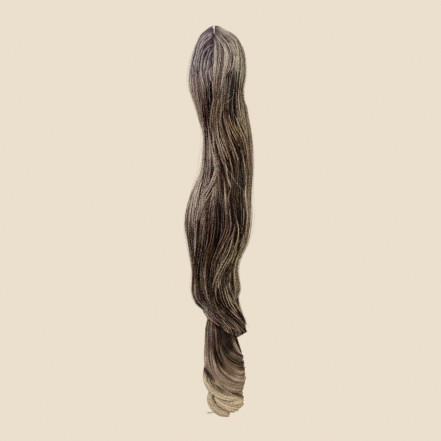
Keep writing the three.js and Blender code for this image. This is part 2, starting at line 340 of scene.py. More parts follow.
def read(columns, rows, steps, at):
    """Named values of a table at the given steps, on a smooth curve through its rows."""
    rows = np.array(rows, float)
    steps = np.array(steps, float)
    slopes = np.gradient(rows, steps, axis=0)
    before = np.clip(np.searchsorted(steps, at, side="right") - 1, 0, len(steps) - 2)
    span = (steps[before + 1] - steps[before])[..., None]
    t = np.clip((at - steps[before])[..., None] / span, 0.0, 1.0)
    smooth = t * t * (3 - 2 * t)
    values = (1 - smooth) * rows[before] + smooth * rows[before + 1]
    values += span * t * (1 - t) * ((1 - t) * slopes[before] - t * slopes[before + 1])
    return named(columns, np.moveaxis(values, -1, 0))


def fall_rows(height):
    """The fall's section at each height."""
    heights = np.array([row[0] for row in FALL])
    row = read(FALL_COLUMNS, FALL, CREST - heights, CREST - height)
    row.nod = np.zeros_like(row.z)
    return row


def curl_rows(name, share):
    """A curl's section at each share of the way from its upper rim to its lower rim."""
    table = CURLS[name]
    drops = np.array([table[0][0] - row[0] for row in table])
    return read(CURL_COLUMNS, table, drops, share * drops[-1])


def on_section(row, angle, reach):
    """Points of sections at an angle from the front, in degrees, and at a share of the way out."""
    turn = np.radians(angle)
    x = row.x + row.wide * reach * np.sin(turn)
    y = row.y - row.deep * reach * np.cos(turn)
    z = row.z - row.lean * (x - CURL_AXIS) + row.nod * y
    return np.stack([x, y, z], -1)


def degrees_for(row, angle, length):
    """The angle that a length along a section's rim takes up."""
    turn = np.radians(angle)
    return np.degrees(length / np.hypot(row.wide * np.cos(turn), row.deep * np.sin(turn)))


def ease(x):
    """0 to 1, slow at both ends."""
    x = np.clip(x, 0.0, 1.0)
    return x * x * (3 - 2 * x)


def up_from(least, share):
    """A share that starts at a least value in place of 0."""
    return least + (1 - least) * share


def lock_edges(row, index):
    """The angles of a lock's two seams, each halfway to the next lock."""
    front = (row.left, row.front_left, row.front_middle, row.front_right, row.right)
    turns = (*front, 180 - row.front_right, 180 - row.front_middle, 180 - row.front_left, row.left + 360)
    before = turns[index - 1] if index else turns[-2] - 360
    return (before + turns[index]) / 2, (turns[index] + turns[index + 1]) / 2


# How much the lengths of the waves of a wander differ.
WAVE_LENGTHS = (0.75, 1.3)


def wander(rng, count, along, waves):
    """A slow wander for each of several lines. waves has a wave length and a size for each wave."""
    total = np.zeros((count, along.shape[-1]))
    for length, size in waves:
        phase = rng.uniform(0, 2 * np.pi, (count, 1))
        period = length * rng.uniform(*WAVE_LENGTHS, (count, 1))
        total = total + size * np.sin(2 * np.pi * along / period + phase)
    return total


# Layers of wisps, from the core outwards: how far each stands off the section, how light its hair is, with
# the deeper layers darker as painted shade, how much that varies, how far it strays, and how thick its
# strands are.
LAYER_LIFT = np.array([-2.4, -1.5, -0.8, -0.1])
LAYER_LIGHT = np.array([0.03, 0.22, 0.36, 0.46])
LAYER_SPREAD = np.array([0.02, 0.12, 0.2, 0.29])
LAYER_STRAY = np.array([0.2, 0.7, 1.0, 1.3])
LAYER_THICK = np.array([1.7, 1.2, 1.0, 0.9])

# Wander of groups and of single wisps, sideways and outwards, of a group's light and of a wisp's width.
GROUP_SIDE_WAVES = ((300, 1.8), (130, 0.8))
WISP_SIDE_WAVES = ((190, 0.5), (85, 0.2))
GROUP_LIFT_WAVES = ((180, 0.5),)
WISP_LIFT_WAVES = ((110, 0.3),)
GROUP_LIGHT_WAVES = ((170, 0.8),)
WISP_WIDTH_WAVES = ((120, 0.4),)

# Groups: how far their seams shift, how much their light differs, how far they dome and how dark the painted
# shade in the furrows between them is. Loose wisps: how many there are and how much more they stray.
GROUP_SHIFT = 0.42
GROUP_SPREAD = 0.21
GROUP_DOME = 2.0
FURROW_SHADE = 0.4
LOOSE_SHARE = 0.12
LOOSE_STRAY = 4.0

# Wisps: how many strands they have, how wide they are, how flat they lie, how much they twist for each
# millimetre, and how much the light of their strands differs.
STRANDS_EACH = 3
WISP_WIDTHS = (0.5, 1.5)
WISP_PINCH = 0.8
WISP_FLAT = 0.4
WISP_TWIST = 0.015
STRAND_SPREAD = 0.03

# Rings of a strand's tube. Those of the locks lie closer at both ends: shares of the rings, and places.
RINGS = 46
RING_SHARES = (0, 0.22, 0.78, 1)
RING_PLACES = (0, 0.07, 0.88, 1)
CURL_RINGS = 26
TUBE_SIDES = 3


def wisps_of(rng, groups, wisps, along, width, stray=1.0, spread=1.0, band=1.0):
    """Sideways and outward offsets of strands that run in wisps, a few strands to each, and their light.
    The wisps of a group stray together, with a furrow on both sides. width is the mean width of a wisp,
    spread scales how much the light differs between wisps, and band how much it differs between groups."""
    owner = np.repeat(np.arange(groups), wisps)
    count = len(owner)
    slot = (np.tile(np.arange(wisps), groups) + rng.uniform(0, 1, count)) / wisps
    layer = rng.permuted(np.tile(np.arange(wisps) % len(LAYER_LIFT), (groups, 1)), axis=1).ravel()
    shifts = np.r_[0, rng.uniform(-GROUP_SHIFT, GROUP_SHIFT, groups - 1), 0]
    bounds = (np.arange(groups + 1) + shifts) / groups
    place = bounds[owner] + (bounds[owner + 1] - bounds[owner]) * slot
    side = wander(rng, groups, along, GROUP_SIDE_WAVES)[owner]
    loose = np.where(rng.uniform(0, 1, (count, 1)) < LOOSE_SHARE, LOOSE_STRAY, 1)
    side = side + loose * wander(rng, count, along, WISP_SIDE_WAVES)
    side = stray * LAYER_STRAY[layer][:, None] * side
    furrow = (2 * slot - 1) ** 2 * (layer > 0)
    out = LAYER_LIFT[layer] - GROUP_DOME * furrow
    out = out[:, None] + wander(rng, groups, along, GROUP_LIFT_WAVES)[owner]
    out = out + wander(rng, count, along, WISP_LIFT_WAVES)
    # The deeper layers and the furrows between groups get painted shade.
    light = (rng.exponential(1, count) - 1) * LAYER_SPREAD[layer] - FURROW_SHADE * furrow
    light = (LAYER_LIGHT[-1] + spread * (LAYER_LIGHT[layer] - LAYER_LIGHT[-1] + light))[:, None]
    tone = rng.normal(0, 1, (groups, 1)) + wander(rng, groups, along, GROUP_LIGHT_WAVES)
    light = light + band * GROUP_SPREAD * (tone[owner] * (layer > 0)[:, None])
    strand = np.repeat(np.arange(count), STRANDS_EACH)
    pinch = WISP_PINCH + wander(rng, count, along, WISP_WIDTH_WAVES)
    radius = (width / 2 * rng.uniform(*WISP_WIDTHS, (count, 1)) * pinch)[strand]
    radius = radius * np.sqrt(rng.uniform(0, 1, (len(strand), 1)))
    twist = rng.uniform(-WISP_TWIST, WISP_TWIST, (count, 1))[strand]
    turn = rng.uniform(0, 2 * np.pi, (len(strand), 1)) + twist * along
    return SimpleNamespace(
        layer=layer[strand],
        thick=LAYER_THICK[layer][strand],
        place=place[strand][:, None],
        side=side[strand] + radius * np.cos(turn),
        out=out[strand] + WISP_FLAT * radius * np.sin(turn),
        light=light[strand] + rng.normal(0, STRAND_SPREAD, (len(strand), 1)),
    )


FALL_END = FALL[-1][0]

# The open slit of the parting: half its width at the crest, the height of its foot, and how it opens.
SLIT_HALF = 1.1
SLIT_FOOT = -3.0
SLIT_POWER = 0.5

# Hair at the parting: how fast it turns down, how much of its place across the lock and of its stray it has
# there, and how far in it starts and how soon it is out.
COMB_POWER = 3
ROOT_OPEN = 0.06
ROOT_STRAY = 0.3
ROOT_REACH = 0.8
ROOT_RISE = 10.0

# Hair of the two edges starts beside the parting: how far across the lock that holds, and how fast it ends.
EDGE_PLACE = 0.2
EDGE_FADE = 0.25

# The lip that hangs over the ringlet: where it starts, how far and how fast it sags, the angle where it is
# lowest, how high and how far its end rounds under, how far and how fast it turns, and how much its strands
# gather.
LIP_START = -342.0
LIP_SAG = 9.0
LIP_SAG_POWER = 3
LIP_LOWEST = 27.0
LIP_ROUND = 8.0
LIP_TUCK = 0.4
LIP_TURN = 78.0
LIP_TURN_POWER = 1.4
LIP_GATHER = 0.6

# Dark gaps: how many half widths their push reaches, the cosine of the angle from the front where it ends,
# and the least cosine that it is worked out with.
GAP_REACH = 3
GAP_FRONT = 0.15
GAP_STEEPEST = 0.3


def part_at_gaps(row, angle, height):
    """Turns strands aside round the dark gaps of the front."""
    for gap in rows_of(GAP_COLUMNS, GAPS):
        turn = np.radians(angle)
        rise = height - gap.z
        off = row.x + row.wide * np.sin(turn) - gap.x - gap.tilt * rise
        nearest = np.argmin(np.abs(rise), axis=1)
        chosen = np.where(off[np.arange(len(off)), nearest] < 0, -1, 1)[:, None]
        open_share = np.clip(1 - (rise / gap.tall) ** 2, 0, 1)
        half = gap.wide * open_share
        beside = np.maximum(chosen * off, 0)
        pushed = chosen * (half + beside * (GAP_REACH - 1) / GAP_REACH)
        near = (beside < GAP_REACH * half) & (np.cos(turn) > GAP_FRONT)
        shift = np.where(near, (pushed - off) * np.sqrt(open_share), 0)
        angle = angle + np.degrees(shift / (row.wide * np.maximum(np.cos(turn), GAP_STEEPEST)))
    return angle


def parting_of(row, index, place):
    """The angle of the parting that a lock's hair starts from. Hair at the two edges starts beside it."""
    front = (row.front_left + row.front_middle) / 2
    if index == LEFT_EDGE:
        return -90 + (front + 90) * ease((place - EDGE_PLACE) / EDGE_FADE)
    if index == RIGHT_EDGE:
        return 90 + (front - 90) * ease((1 - EDGE_PLACE - place) / EDGE_FADE)
    return 180 - front if index in BACK_LOCKS else front


def drift(index, place, height):
    """How far hair drifts to the right, most at the seam of the front middle and front right locks."""
    if index not in DRIFT_LOCKS:
        return 0
    heights, shifts = np.array(DRIFT[::-1], float).T
    near = np.clip(place if index == DRIFT_LOCKS[0] else 1 - place, 0, 1)
    return near ** DRIFT_POWER * np.interp(height, heights, shifts)


def dents_at(angle, height):
    """How deep the outline is dented."""
    depth = 0
    for dent in rows_of(DENT_COLUMNS, DENTS):
        off = ((angle - dent.angle) / dent.wide) ** 2 + ((height - dent.z) / dent.tall) ** 2
        depth = depth + dent.depth * ease(1 - off)
    return depth


def rounded_at(height):
    """How far the end of the lip has rounded under, from 0 to 1."""
    return ease((FALL_END + LIP_ROUND - height) / LIP_ROUND)


def tuck_at(angle, height):
    """How much of the reach is left where the lip rounds under."""
    under = 0.5 + 0.5 * np.cos(np.radians(angle - LIP_LOWEST))
    return 1 - LIP_TUCK * under * rounded_at(height)


def lip_at(height):
    """How far down the lip a height is, from 0 to 1."""
    return ease((LIP_START - height) / (LIP_START - FALL_END))


def sag_at(angle, height):
    """How far the lip hangs down."""
    front = np.clip(np.cos(np.radians(angle - LIP_LOWEST)), 0, 1)
    return LIP_SAG * lip_at(height) ** LIP_SAG_POWER * front


def points_off_fall(row, angle, height, crown, out, share=1.0):
    """Points off the fall's sections, with its dents and its lip. crown is the reach of the locks there,
    out the distance off it, and share how much of both is left."""
    reach = crown + 2 * (out - dents_at(angle, height)) / (row.wide + row.deep)
    points = on_section(row, angle, reach * share * tuck_at(angle, height))
    points[..., 2] -= sag_at(angle, height)
    return points


def lie_on_fall(index, lock, place, root, height, side, out, parts=None):
    """Paths on the fall, for strands at a place across a lock, from their roots on the parting down.
    parts marks the strands that open round the gaps."""
    row = fall_rows(height)
    low, high = lock_edges(row, index)
    angle = low + (high - low) * place
    parting = parting_of(row, index, place)
    comb = lock.comb_first + (lock.comb_last - lock.comb_first) * place
    combed = 1 - (1 - np.clip((root - height) / comb, 0, 1)) ** COMB_POWER
    angle = parting + (angle - parting) * up_from(ROOT_OPEN, combed)
    lip = lip_at(height)
    side = side * (1 - LIP_GATHER * lip) * up_from(ROOT_STRAY, combed) + drift(index, place, height)
    angle = angle + LIP_TURN * lip ** LIP_TURN_POWER + degrees_for(row, angle, side)
    if parts is not None:
        angle = np.where(parts[:, None], part_at_gaps(row, angle, height), angle)
    open_slit = SLIT_HALF * np.clip((height - SLIT_FOOT) / (CREST - SLIT_FOOT), 0, 1) ** SLIT_POWER
    clear = degrees_for(row, angle, open_slit)
    beside = -1 if index in BEFORE_PARTING else 1
    slit_side = parting + beside * np.maximum((angle - parting) * beside, clear)
    angle = np.where(height > SLIT_FOOT, slit_side, angle)
    crown = 1 - GROOVE * np.abs(2 * place - 1) ** GROOVE_SHARPNESS
    share = up_from(ROOT_REACH, ease((root - height) / ROOT_RISE))
    return points_off_fall(row, angle, height, crown, out, share)


# How much of the seams between the front locks is filled under what crosses them.
SEAM_FILL = 0.5


def crown_at(row, angle):
    """The reach of the front locks at an angle, with the seams between them partly filled."""
    crown = np.ones_like(angle)
    for index in FRONT_LOCKS:
        low, high = lock_edges(row, index)
        off = np.abs(2 * (angle - low) / (high - low) - 1)
        crown = np.where(off <= 1, 1 - SEAM_FILL * GROOVE * off ** GROOVE_SHARPNESS, crown)
    return crown


def angle_at(row, x, widest):
    """The angle from the front at which sections show at x, out to a widest share of their half width."""
    return np.degrees(np.arcsin(np.clip((x - row.x) / row.wide, -widest, widest)))


# How many rounds a path takes to settle on the leaning sections of the lip, and how far out it may run.
SETTLE_ROUNDS = 6
WIDEST = 0.97


def lie_over_front(x, z, out):
    """Paths over the front locks that show at x and z."""
    height = z
    for _ in range(SETTLE_ROUNDS):
        row = fall_rows(height)
        angle = angle_at(row, x, WIDEST)
        height = np.clip(z + row.lean * (x - CURL_AXIS) + sag_at(angle, height), FALL_END, CREST)
    row = fall_rows(height)
    return points_off_fall(row, angle, height, crown_at(row, angle), out)


# The painted light and shade of the patches fades out from this y towards the back, over a length.
PATCH_BACK = 6.0
PATCH_FADE = 12.0


def with_painted_light(paths, light):
    """The light of strands with the painted highlights and painted shade of the front's patches."""
    x, y, z = np.moveaxis(paths, -1, 0)
    for patch in rows_of(PATCH_COLUMNS, PAINTED_LIGHT_PATCHES):
        rise = z - patch.z
        off = ((x - patch.x - patch.tilt * rise) / patch.wide) ** 2 + (rise / patch.tall) ** 2
        change = patch.gain * ease(1 - off) * ease((PATCH_BACK - y) / PATCH_FADE)
        light = light * (1 + change) if patch.gain > 0 else light + change
    return light


def stacked(sets, rings):
    """Several sets of strands as one: their paths, light and thickness."""
    none = (np.empty((0, rings, 3)), np.empty((0, rings)), np.empty(0))
    return tuple(np.concatenate(parts) for parts in zip(none, *sets))


# Strands of the locks: how their roots run along the parting and differ, how far painted shade darkens them
# there, how dark that painted shade is and how dark the painted shade at the end of the lip is, and how far
# down the crown reaches.
ROOT_POWER = 1.4
ROOT_SPREAD = (-1.5, 0)
ROOT_SHADE = 4.0
SHADE_LEAST = 0.35
LIP_SHADE = 0.3
CROWN_TALL = 110.0


def lock_strands(index, lock, sizes, rng):
    """Paths of a lock's strands and the light of each."""
    t = np.interp(np.linspace(0, 1, RINGS), RING_SHARES, RING_PLACES)
    along = t[None, :] * (CREST - FALL_END)
    band = up_from(lock.crown, ease(along / CROWN_TALL))
    wisps = wisps_of(rng, lock.groups, lock.wisps, along, sizes.wisp_width / MM, band=band)
    root = lock.first + (lock.last - lock.first) * wisps.place ** ROOT_POWER
    root = root + rng.uniform(*ROOT_SPREAD, wisps.place.shape)
    height = root + (FALL_END - root) * t
    parts = wisps.layer > 0
    paths = lie_on_fall(index, lock, wisps.place, root, height, wisps.side, wisps.out, parts)
    end_shade = 1 - LIP_SHADE * rounded_at(height)
    shade = up_from(SHADE_LEAST, ease((root - height) / ROOT_SHADE) * end_shade)
    return paths, with_painted_light(paths, (wisps.light + lock.pale) * shade), wisps.thick


# Fans: wisps in a group, how much they stray, how their roots differ, how far they stand off and keep of
# their relief, how deep they start, and how far they take to come out and to lose the painted shade they
# start in.
FAN_WISPS = 4
FAN_STRAY = 0.6
FAN_ROOTS = (-18, 18)
FAN_LIFT = 0.5
FAN_RELIEF = 0.3
FAN_DIVE = 3.5
FAN_RISE = 30.0
FAN_SHADE = 30.0


def fan_strands(index, lock, sizes, rng):
    """Paths of the wisps that fan across a lock, and the light of each."""
    sets = []
    t = np.linspace(0, 1, RINGS)
    for fan in rows_of(FAN_COLUMNS, FANS):
        if fan.lock != index:
            continue
        along = t[None, :] * (fan.z - FALL_END)
        wisps = wisps_of(rng, fan.groups, FAN_WISPS, along, sizes.wisp_width / MM, FAN_STRAY)
        root = fan.z + rng.uniform(*FAN_ROOTS, wisps.place.shape)
        height = root + (FALL_END - root) * t
        final = fan.first + (fan.last - fan.first) * wisps.place
        gone = ease((root - height) / fan.span)
        place = fan.start + (final - fan.start) * gone
        out = FAN_LIFT + FAN_RELIEF * wisps.out - FAN_DIVE * (1 - ease((root - height) / FAN_RISE))
        parts = np.ones(len(out), bool)
        comb_end = np.full(wisps.place.shape, CREST)
        paths = lie_on_fall(index, lock, place, comb_end, height, wisps.side, out, parts)
        light = fan.light + (wisps.light - LAYER_LIGHT.mean())
        light = with_painted_light(paths, light * ease((root - height) / FAN_SHADE))
        sets.append((paths, light, np.ones(len(out))))
    return stacked(sets, RINGS)


# Crossing wisps: rings, strands in each, where along the path they start and end, how far they stray as a
# share of their spread, how wide they are, how far they stand off and differ in that, how deep their ends
# dive and how long those are, how thick the strands are, and the light: of the dark ones, how much that
# of the light ones and of their strands differs, and how much of it the ends keep under the painted shade
# where they dive.
SWEEP_RINGS = 20
SWEEP_STRANDS = 4
SWEEP_STARTS = (0, 0.25)
SWEEP_STOPS = (0.78, 1)
SWEEP_STRAY = 0.4
SWEEP_WIDTH = 0.4
SWEEP_LIFT = 0.3
SWEEP_LIFT_SPREAD = 0.35
SWEEP_DIVE = 3.0
SWEEP_ENDS = 0.28
SWEEP_THICK = 0.8
SWEEP_DARK = (0.0, 0.32)
SWEEP_SPREAD = 0.12
SWEEP_STRAND_SPREAD = 0.05
SWEEP_SHADE_LEAST = 0.3

# How much lighter the dark ones are at the crown, and the heights between which that fades.
CROWN_DARK = 0.7
CROWN_HEIGHTS = (-75.0, -45.0)


def sweep_strands(index, lock, rng):
    """Paths of the wisps that cross over a lock, and the light of each."""
    sets = []
    t = np.linspace(0, 1, SWEEP_RINGS)
    shown = ease(t / SWEEP_ENDS) * ease((1 - t) / SWEEP_ENDS)
    for sweep in rows_of(SWEEP_COLUMNS, SWEEPS):
        if sweep.lock != index:
            continue
        each = (sweep.wisps, 1)
        strand = np.repeat(np.arange(sweep.wisps), SWEEP_STRANDS)
        single = (len(strand), 1)
        first = rng.uniform(*SWEEP_STARTS, each)[strand]
        last = rng.uniform(*SWEEP_STOPS, each)[strand]
        steps = np.arange(len(sweep.path))
        row = read(("x", "z"), sweep.path, steps, (first + (last - first) * t) * steps[-1])
        order = np.arange(sweep.wisps)[:, None] - (sweep.wisps - 1) / 2
        from_side = order * sweep.spread + rng.normal(0, SWEEP_STRAY * sweep.spread, each)
        to_side = order * sweep.spread + rng.normal(0, SWEEP_STRAY * sweep.spread, each)
        side = (from_side + (to_side - from_side) * t)[strand] + rng.normal(0, SWEEP_WIDTH, single)
        out = SWEEP_LIFT + rng.normal(0, SWEEP_LIFT_SPREAD, single) - SWEEP_DIVE * (1 - shown)
        paths = lie_over_front(row.x + side, row.z, out)
        dark = np.arange(sweep.wisps)[:, None] % 2 == 1
        dark_light = rng.uniform(*SWEEP_DARK, each)
        light = np.where(dark, dark_light, sweep.light + rng.normal(0, SWEEP_SPREAD, each))
        crown = np.interp(row.z, CROWN_HEIGHTS, (0, CROWN_DARK * (1 - lock.crown))) * dark[strand]
        light = light[strand] + crown + rng.normal(0, SWEEP_STRAND_SPREAD, single)
        light = light * up_from(SWEEP_SHADE_LEAST, shown)
        sets.append((paths, light, np.full(len(paths), SWEEP_THICK)))
    return stacked(sets, SWEEP_RINGS)


# Strands of the curls: how many of their rings lie close to the end and in how many steps that is worked
# out, how long they count as, how much they stray and where that turns from across to up, how far they
# stand off, how thick they are, and how their ends differ.
CURL_CLOSE = 0.4
CURL_STEPS = 100
CURL_LENGTH = 110.0
CURL_STRAY = 0.6
CURL_TURN = 0.6
CURL_RELIEF = 0.6
CURL_THICK = 1.5
CURL_ENDS = (0.96, 1.0)

# Roots of the curls: how far above the rim, how far in, and the shares of a strand where it is down, where
# it is out, and where the painted shade of its root under the lip has gone.
CURL_ROOT = 7.0
CURL_ROOT_REACH = 0.82
ROOT_DOWN = 0.15
ROOT_OUT = 0.08
CURL_ROOT_SHADE = 0.2

# Ends of the curls: where they turn in and how far, where painted shade darkens them and how much, and how
# even the light gets near the rim.
END_IN_FROM = 0.9
END_IN = 0.3
END_SHADE_FROM = 0.97
END_SHADE = 0.4
RIM_EVEN = 0.85
RIM_FROM = 0.7
RIM_FULL = 0.95


def curl_strands(name, curl, sizes, rng):
    """Paths of the strands that wind down a curl, and the light of each."""
    steps = np.linspace(0, 1, CURL_STEPS)
    places = (1 - CURL_CLOSE) * steps + CURL_CLOSE * steps ** 3
    u = np.interp(np.linspace(0, 1, CURL_RINGS), places, steps)
    along = u[None, :] * CURL_LENGTH
    width = sizes.wisp_width / MM
    wisps = wisps_of(rng, curl.groups, curl.wisps, along, width, CURL_STRAY, curl.spread, curl.band)
    marks, *columns = np.array(FLOWS[name], float).T
    flow = named(FLOW_COLUMNS[1:], [np.interp(wisps.place, marks, column) for column in columns])
    end = flow.end * rng.uniform(*CURL_ENDS, wisps.place.shape)
    down = end * (1 - (1 - u) ** curl.bend)
    row = curl_rows(name, down)
    angle = flow.root + flow.sweep * u ** flow.lag
    slope = ease(1 - u / CURL_TURN)
    angle = angle + degrees_for(row, angle, wisps.side * slope)
    reach = 1 + 2 * CURL_RELIEF * wisps.out / (row.wide + row.deep)
    reach = reach * up_from(CURL_ROOT_REACH, ease(u / ROOT_OUT))
    reach = reach * (1 - END_IN * ease((u - END_IN_FROM) / (1 - END_IN_FROM)))
    points = on_section(row, angle, reach)
    front = np.clip(np.cos(np.radians(angle)), 0, 1)
    points[..., 2] += curl.bow * (1 - front) - curl.hang * front * down ** 2 - wisps.side * (1 - slope)
    points[..., 2] += CURL_ROOT * (1 - ease(u / ROOT_DOWN))
    # Painted shade at the roots under the lip, and at the ends where they turn in under the rim.
    shade = up_from(flow.shade, ease(u / CURL_ROOT_SHADE))
    shade = shade * (1 - END_SHADE * ease((u - END_SHADE_FROM) / (1 - END_SHADE_FROM)))
    even = RIM_EVEN * ease((down - RIM_FROM) / (RIM_FULL - RIM_FROM))
    light = wisps.light + (LAYER_LIGHT[-1] - wisps.light) * even
    return points, with_painted_light(points, (light + flow.pale) * shade), CURL_THICK * wisps.thick


# The tail: how far out from its middle line its strands lie, how far they run, their light and how that
# differs, and how thick they are. The loose wisp: its light, and how thick its hairs are.
TAIL_REACH = (0.35, 1)
TAIL_ENDS = (0.93, 1.0)
TAIL_LIGHT = 0.55
TAIL_SPREAD = 0.08
TAIL_THICK = 1.3
WISP_LIGHT = 0.6
WISP_THICK = 0.5


def tail_strands(rng, count):
    """Paths of the strands of the tail, side by side round its middle line, and the light of each."""
    t = np.linspace(0, 1, CURL_RINGS)
    row = read(TAIL_COLUMNS, TAIL, np.arange(len(TAIL)), t * (len(TAIL) - 1))
    middle = np.stack([row.x, row.y, row.z], -1)
    heading = np.gradient(middle, axis=0)
    across = np.cross((0.0, 1.0, 0.0), heading)
    across /= np.linalg.norm(across, axis=-1, keepdims=True)
    far = np.sqrt(rng.uniform(*TAIL_REACH, (count, 1)))
    turn = rng.uniform(0, 2 * np.pi, (count, 1))
    paths = middle[None] + (far * np.cos(turn) * row.wide)[..., None] * across
    paths[..., 1] -= far * np.sin(turn) * row.deep
    keep = rng.uniform(*TAIL_ENDS, (count, 1))
    u = t[None, :] * keep * (CURL_RINGS - 1)
    low = np.clip(u.astype(int), 0, CURL_RINGS - 2)
    part = (u - low)[..., None]
    line = np.arange(count)[:, None]
    paths = paths[line, low] * (1 - part) + paths[line, low + 1] * part
    light = rng.normal(TAIL_LIGHT, TAIL_SPREAD, (count, 1)) * np.ones(CURL_RINGS)
    return paths, light, np.full(count, TAIL_THICK)


def loose_wisp(rng, count):
    """Paths of the hairs of the loose wisp, and the light of each."""
    row = read(WISP_COLUMNS, WISP, np.arange(len(WISP)), np.linspace(0, len(WISP) - 1, CURL_RINGS))
    paths = np.stack([row.x, row.y, row.z], -1) + rng.normal(0, 1, (count, 1, 3)) * row.spread[:, None]
    return paths, np.full((count, CURL_RINGS), WISP_LIGHT), np.full(count, WISP_THICK)


# The tint map: its lowest and highest height, the least height that a strand takes up on it, the width of
# a strand, the darkest and lightest place across it, and how far a strand's two end faces lean on it.
V_LOW = -510.0
V_HIGH = 20.0
V_LEAST = 8.0
TINT_WIDTH = 0.008
TINT_RANGE = (0.02, 0.97)
CAP_TILT = 0.002

# Tubes: how thin their ends are, how fast they get full, and what keeps a length from being 0.
TAPER_LEAST = 0.35
TAPER_SLOPE = 8.0
TINY = 1e-9


def height_mark(height):
    """A height's place in the tint map."""
    return (height - V_LOW) / (V_HIGH - V_LOW)


def tube_parts(paths, light, reddish, radius):
    """Closed tubes round paths, as vertices, faces and tint coordinates.
    A tube's place across the tint map is its light at each ring, in the half for plain or for reddish hair,
    and its place up the map follows its height."""
    count, rings = paths.shape[:2]
    heading = np.gradient(paths, axis=1)
    heading /= np.linalg.norm(heading, axis=-1, keepdims=True)
    outward = paths * (1, 1, 0) - (CURL_AXIS / 2, 0, 0)
    across = np.cross(heading, outward)
    across /= np.linalg.norm(across, axis=-1, keepdims=True) + TINY
    up = np.cross(across, heading)
    along = np.linspace(0, 1, rings)
    taper = np.minimum(1, TAPER_LEAST + TAPER_SLOPE * np.minimum(along, 1 - along))
    size = (radius * taper)[..., None]
    corners = []
    for side in range(TUBE_SIDES):
        turn = 2 * np.pi * side / TUBE_SIDES
        corners.append(paths + size * (np.cos(turn) * across + np.sin(turn) * up))
    points = np.stack(corners, 2).reshape(-1, 3)
    ring = np.arange(rings - 1)[:, None] * TUBE_SIDES
    side = np.arange(TUBE_SIDES)
    beside = (side + 1) % TUBE_SIDES
    quads = np.stack([ring + side, ring + beside, ring + beside + TUBE_SIDES, ring + side + TUBE_SIDES], -1)
    quads = quads.reshape(-1, 4)
    last = (rings - 1) * TUBE_SIDES
    caps = np.array([side[::-1], last + side])
    starts = np.arange(count)[:, None, None] * rings * TUBE_SIDES
    all_quads = (quads[None] + starts).reshape(-1, 4)
    all_caps = (caps[None] + starts).reshape(-1, 3)

    steps = np.linalg.norm(np.diff(paths, axis=1), axis=-1)
    gone = np.concatenate([np.zeros((count, 1)), np.cumsum(steps, 1)], 1)
    gone /= gone[:, -1:]
    top = paths[:, :1, 2]
    bottom = np.minimum(paths[:, -1:, 2], top - V_LEAST)
    v = height_mark(top + (bottom - top) * gone)
    middle = (np.clip(light, *TINT_RANGE) + reddish[:, None]) / 2
    u_side = middle[..., None] + TINT_WIDTH * (np.arange(TUBE_SIDES + 1) / TUBE_SIDES - 0.5)
    uv = np.empty((count, rings - 1, TUBE_SIDES, 4, 2))
    uv[..., 0, 0] = u_side[:, :-1, :-1]
    uv[..., 1, 0] = u_side[:, :-1, 1:]
    uv[..., 2, 0] = u_side[:, 1:, 1:]
    uv[..., 3, 0] = u_side[:, 1:, :-1]
    uv[..., 0, 1] = uv[..., 1, 1] = v[:, :-1, None]
    uv[..., 2, 1] = uv[..., 3, 1] = v[:, 1:, None]
    cap_uv = np.empty((count, 2, 3, 2))
    cap_uv[..., 0] = u_side[:, [0, -1], :3]
    cap_uv[..., 1] = v[:, [0, -1]][..., None]
    cap_uv[..., 1, 1] += CAP_TILT
    return SimpleNamespace(points=points, quads=all_quads, caps=all_caps,
                           quad_uv=uv.reshape(-1, 2), cap_uv=cap_uv.reshape(-1, 2))


# Cores: the height they end at, and how close points are joined, in metres. In the tint map: the lowest and
# highest place of a face, how far it leans, and the places of its corners across a strand's width at the
# dark end of the map, which paints the cores with the shade of the hair's depths.
CORE_TOP = -16.0
CORE_JOIN = 0.00001
CORE_MARKS = (0.002, 0.998)
CORE_TILT = 0.0007
CORE_PLACES = (0.2, 0.5, 0.8)


def core_parts(node, rows_at, shrink):
    """The node's own solid, drawn in towards its spine, as the dark body under the strands, painted in the
    darkest tint as the shade deep in the hair.
    """
    mesh = bmesh.new()
    mesh.from_mesh(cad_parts[node].data)
    bmesh.ops.remove_doubles(mesh, verts=mesh.verts, dist=CORE_JOIN)
    bmesh.ops.triangulate(mesh, faces=mesh.faces)
    points = np.array([vertex.co for vertex in mesh.verts]) / MM
    row = rows_at(points)
    centre = np.stack([row.x, row.y], -1)
    points[:, :2] = centre + (points[:, :2] - centre) * shrink
    points[:, 2] = np.minimum(points[:, 2], CORE_TOP)
    caps = np.array([[vertex.index for vertex in face.verts] for face in mesh.faces])
    mesh.free()
    v = np.clip(height_mark(points[caps][..., 2]), *CORE_MARKS)
    v[:, 1] += CORE_TILT
    u = np.tile(TINT_WIDTH * np.array(CORE_PLACES), (len(caps), 1))
    return SimpleNamespace(points=points, quads=np.empty((0, 4), int), caps=caps,
                           quad_uv=np.empty((0, 2)), cap_uv=np.stack([u, v], -1).reshape(-1, 2))


def join_parts(name, parts, material):
    """One mesh object of several parts, with a tint map."""
    offsets = np.cumsum([0] + [len(part.points) for part in parts])
    points = np.concatenate([part.points for part in parts]) * MM
    quads = np.concatenate([part.quads + start for part, start in zip(parts, offsets)])
    caps = np.concatenate([part.caps + start for part, start in zip(parts, offsets)])
    uv = np.concatenate([part.quad_uv for part in parts] + [part.cap_uv for part in parts])
    mesh = bpy.data.meshes.new(name)
    mesh.vertices.add(len(points))
    mesh.vertices.foreach_set("co", points.astype(np.float32).ravel())
    mesh.loops.add(quads.size + caps.size)
    mesh.loops.foreach_set("vertex_index", np.concatenate([quads.ravel(), caps.ravel()]).astype(np.int32))
    starts = np.concatenate([np.arange(len(quads)) * 4, quads.size + np.arange(len(caps)) * 3])
    mesh.polygons.add(len(starts))
    mesh.polygons.foreach_set("loop_start", starts.astype(np.int32))
    mesh.polygons.foreach_set("use_smooth", np.ones(len(starts), bool))
    mesh.uv_layers.new(name="OFBake").data.foreach_set("uv", uv.astype(np.float32).ravel())
    mesh.materials.append(material)
    mesh.update(calc_edges=True)
    mesh.validate()
    return new_object(name, mesh)


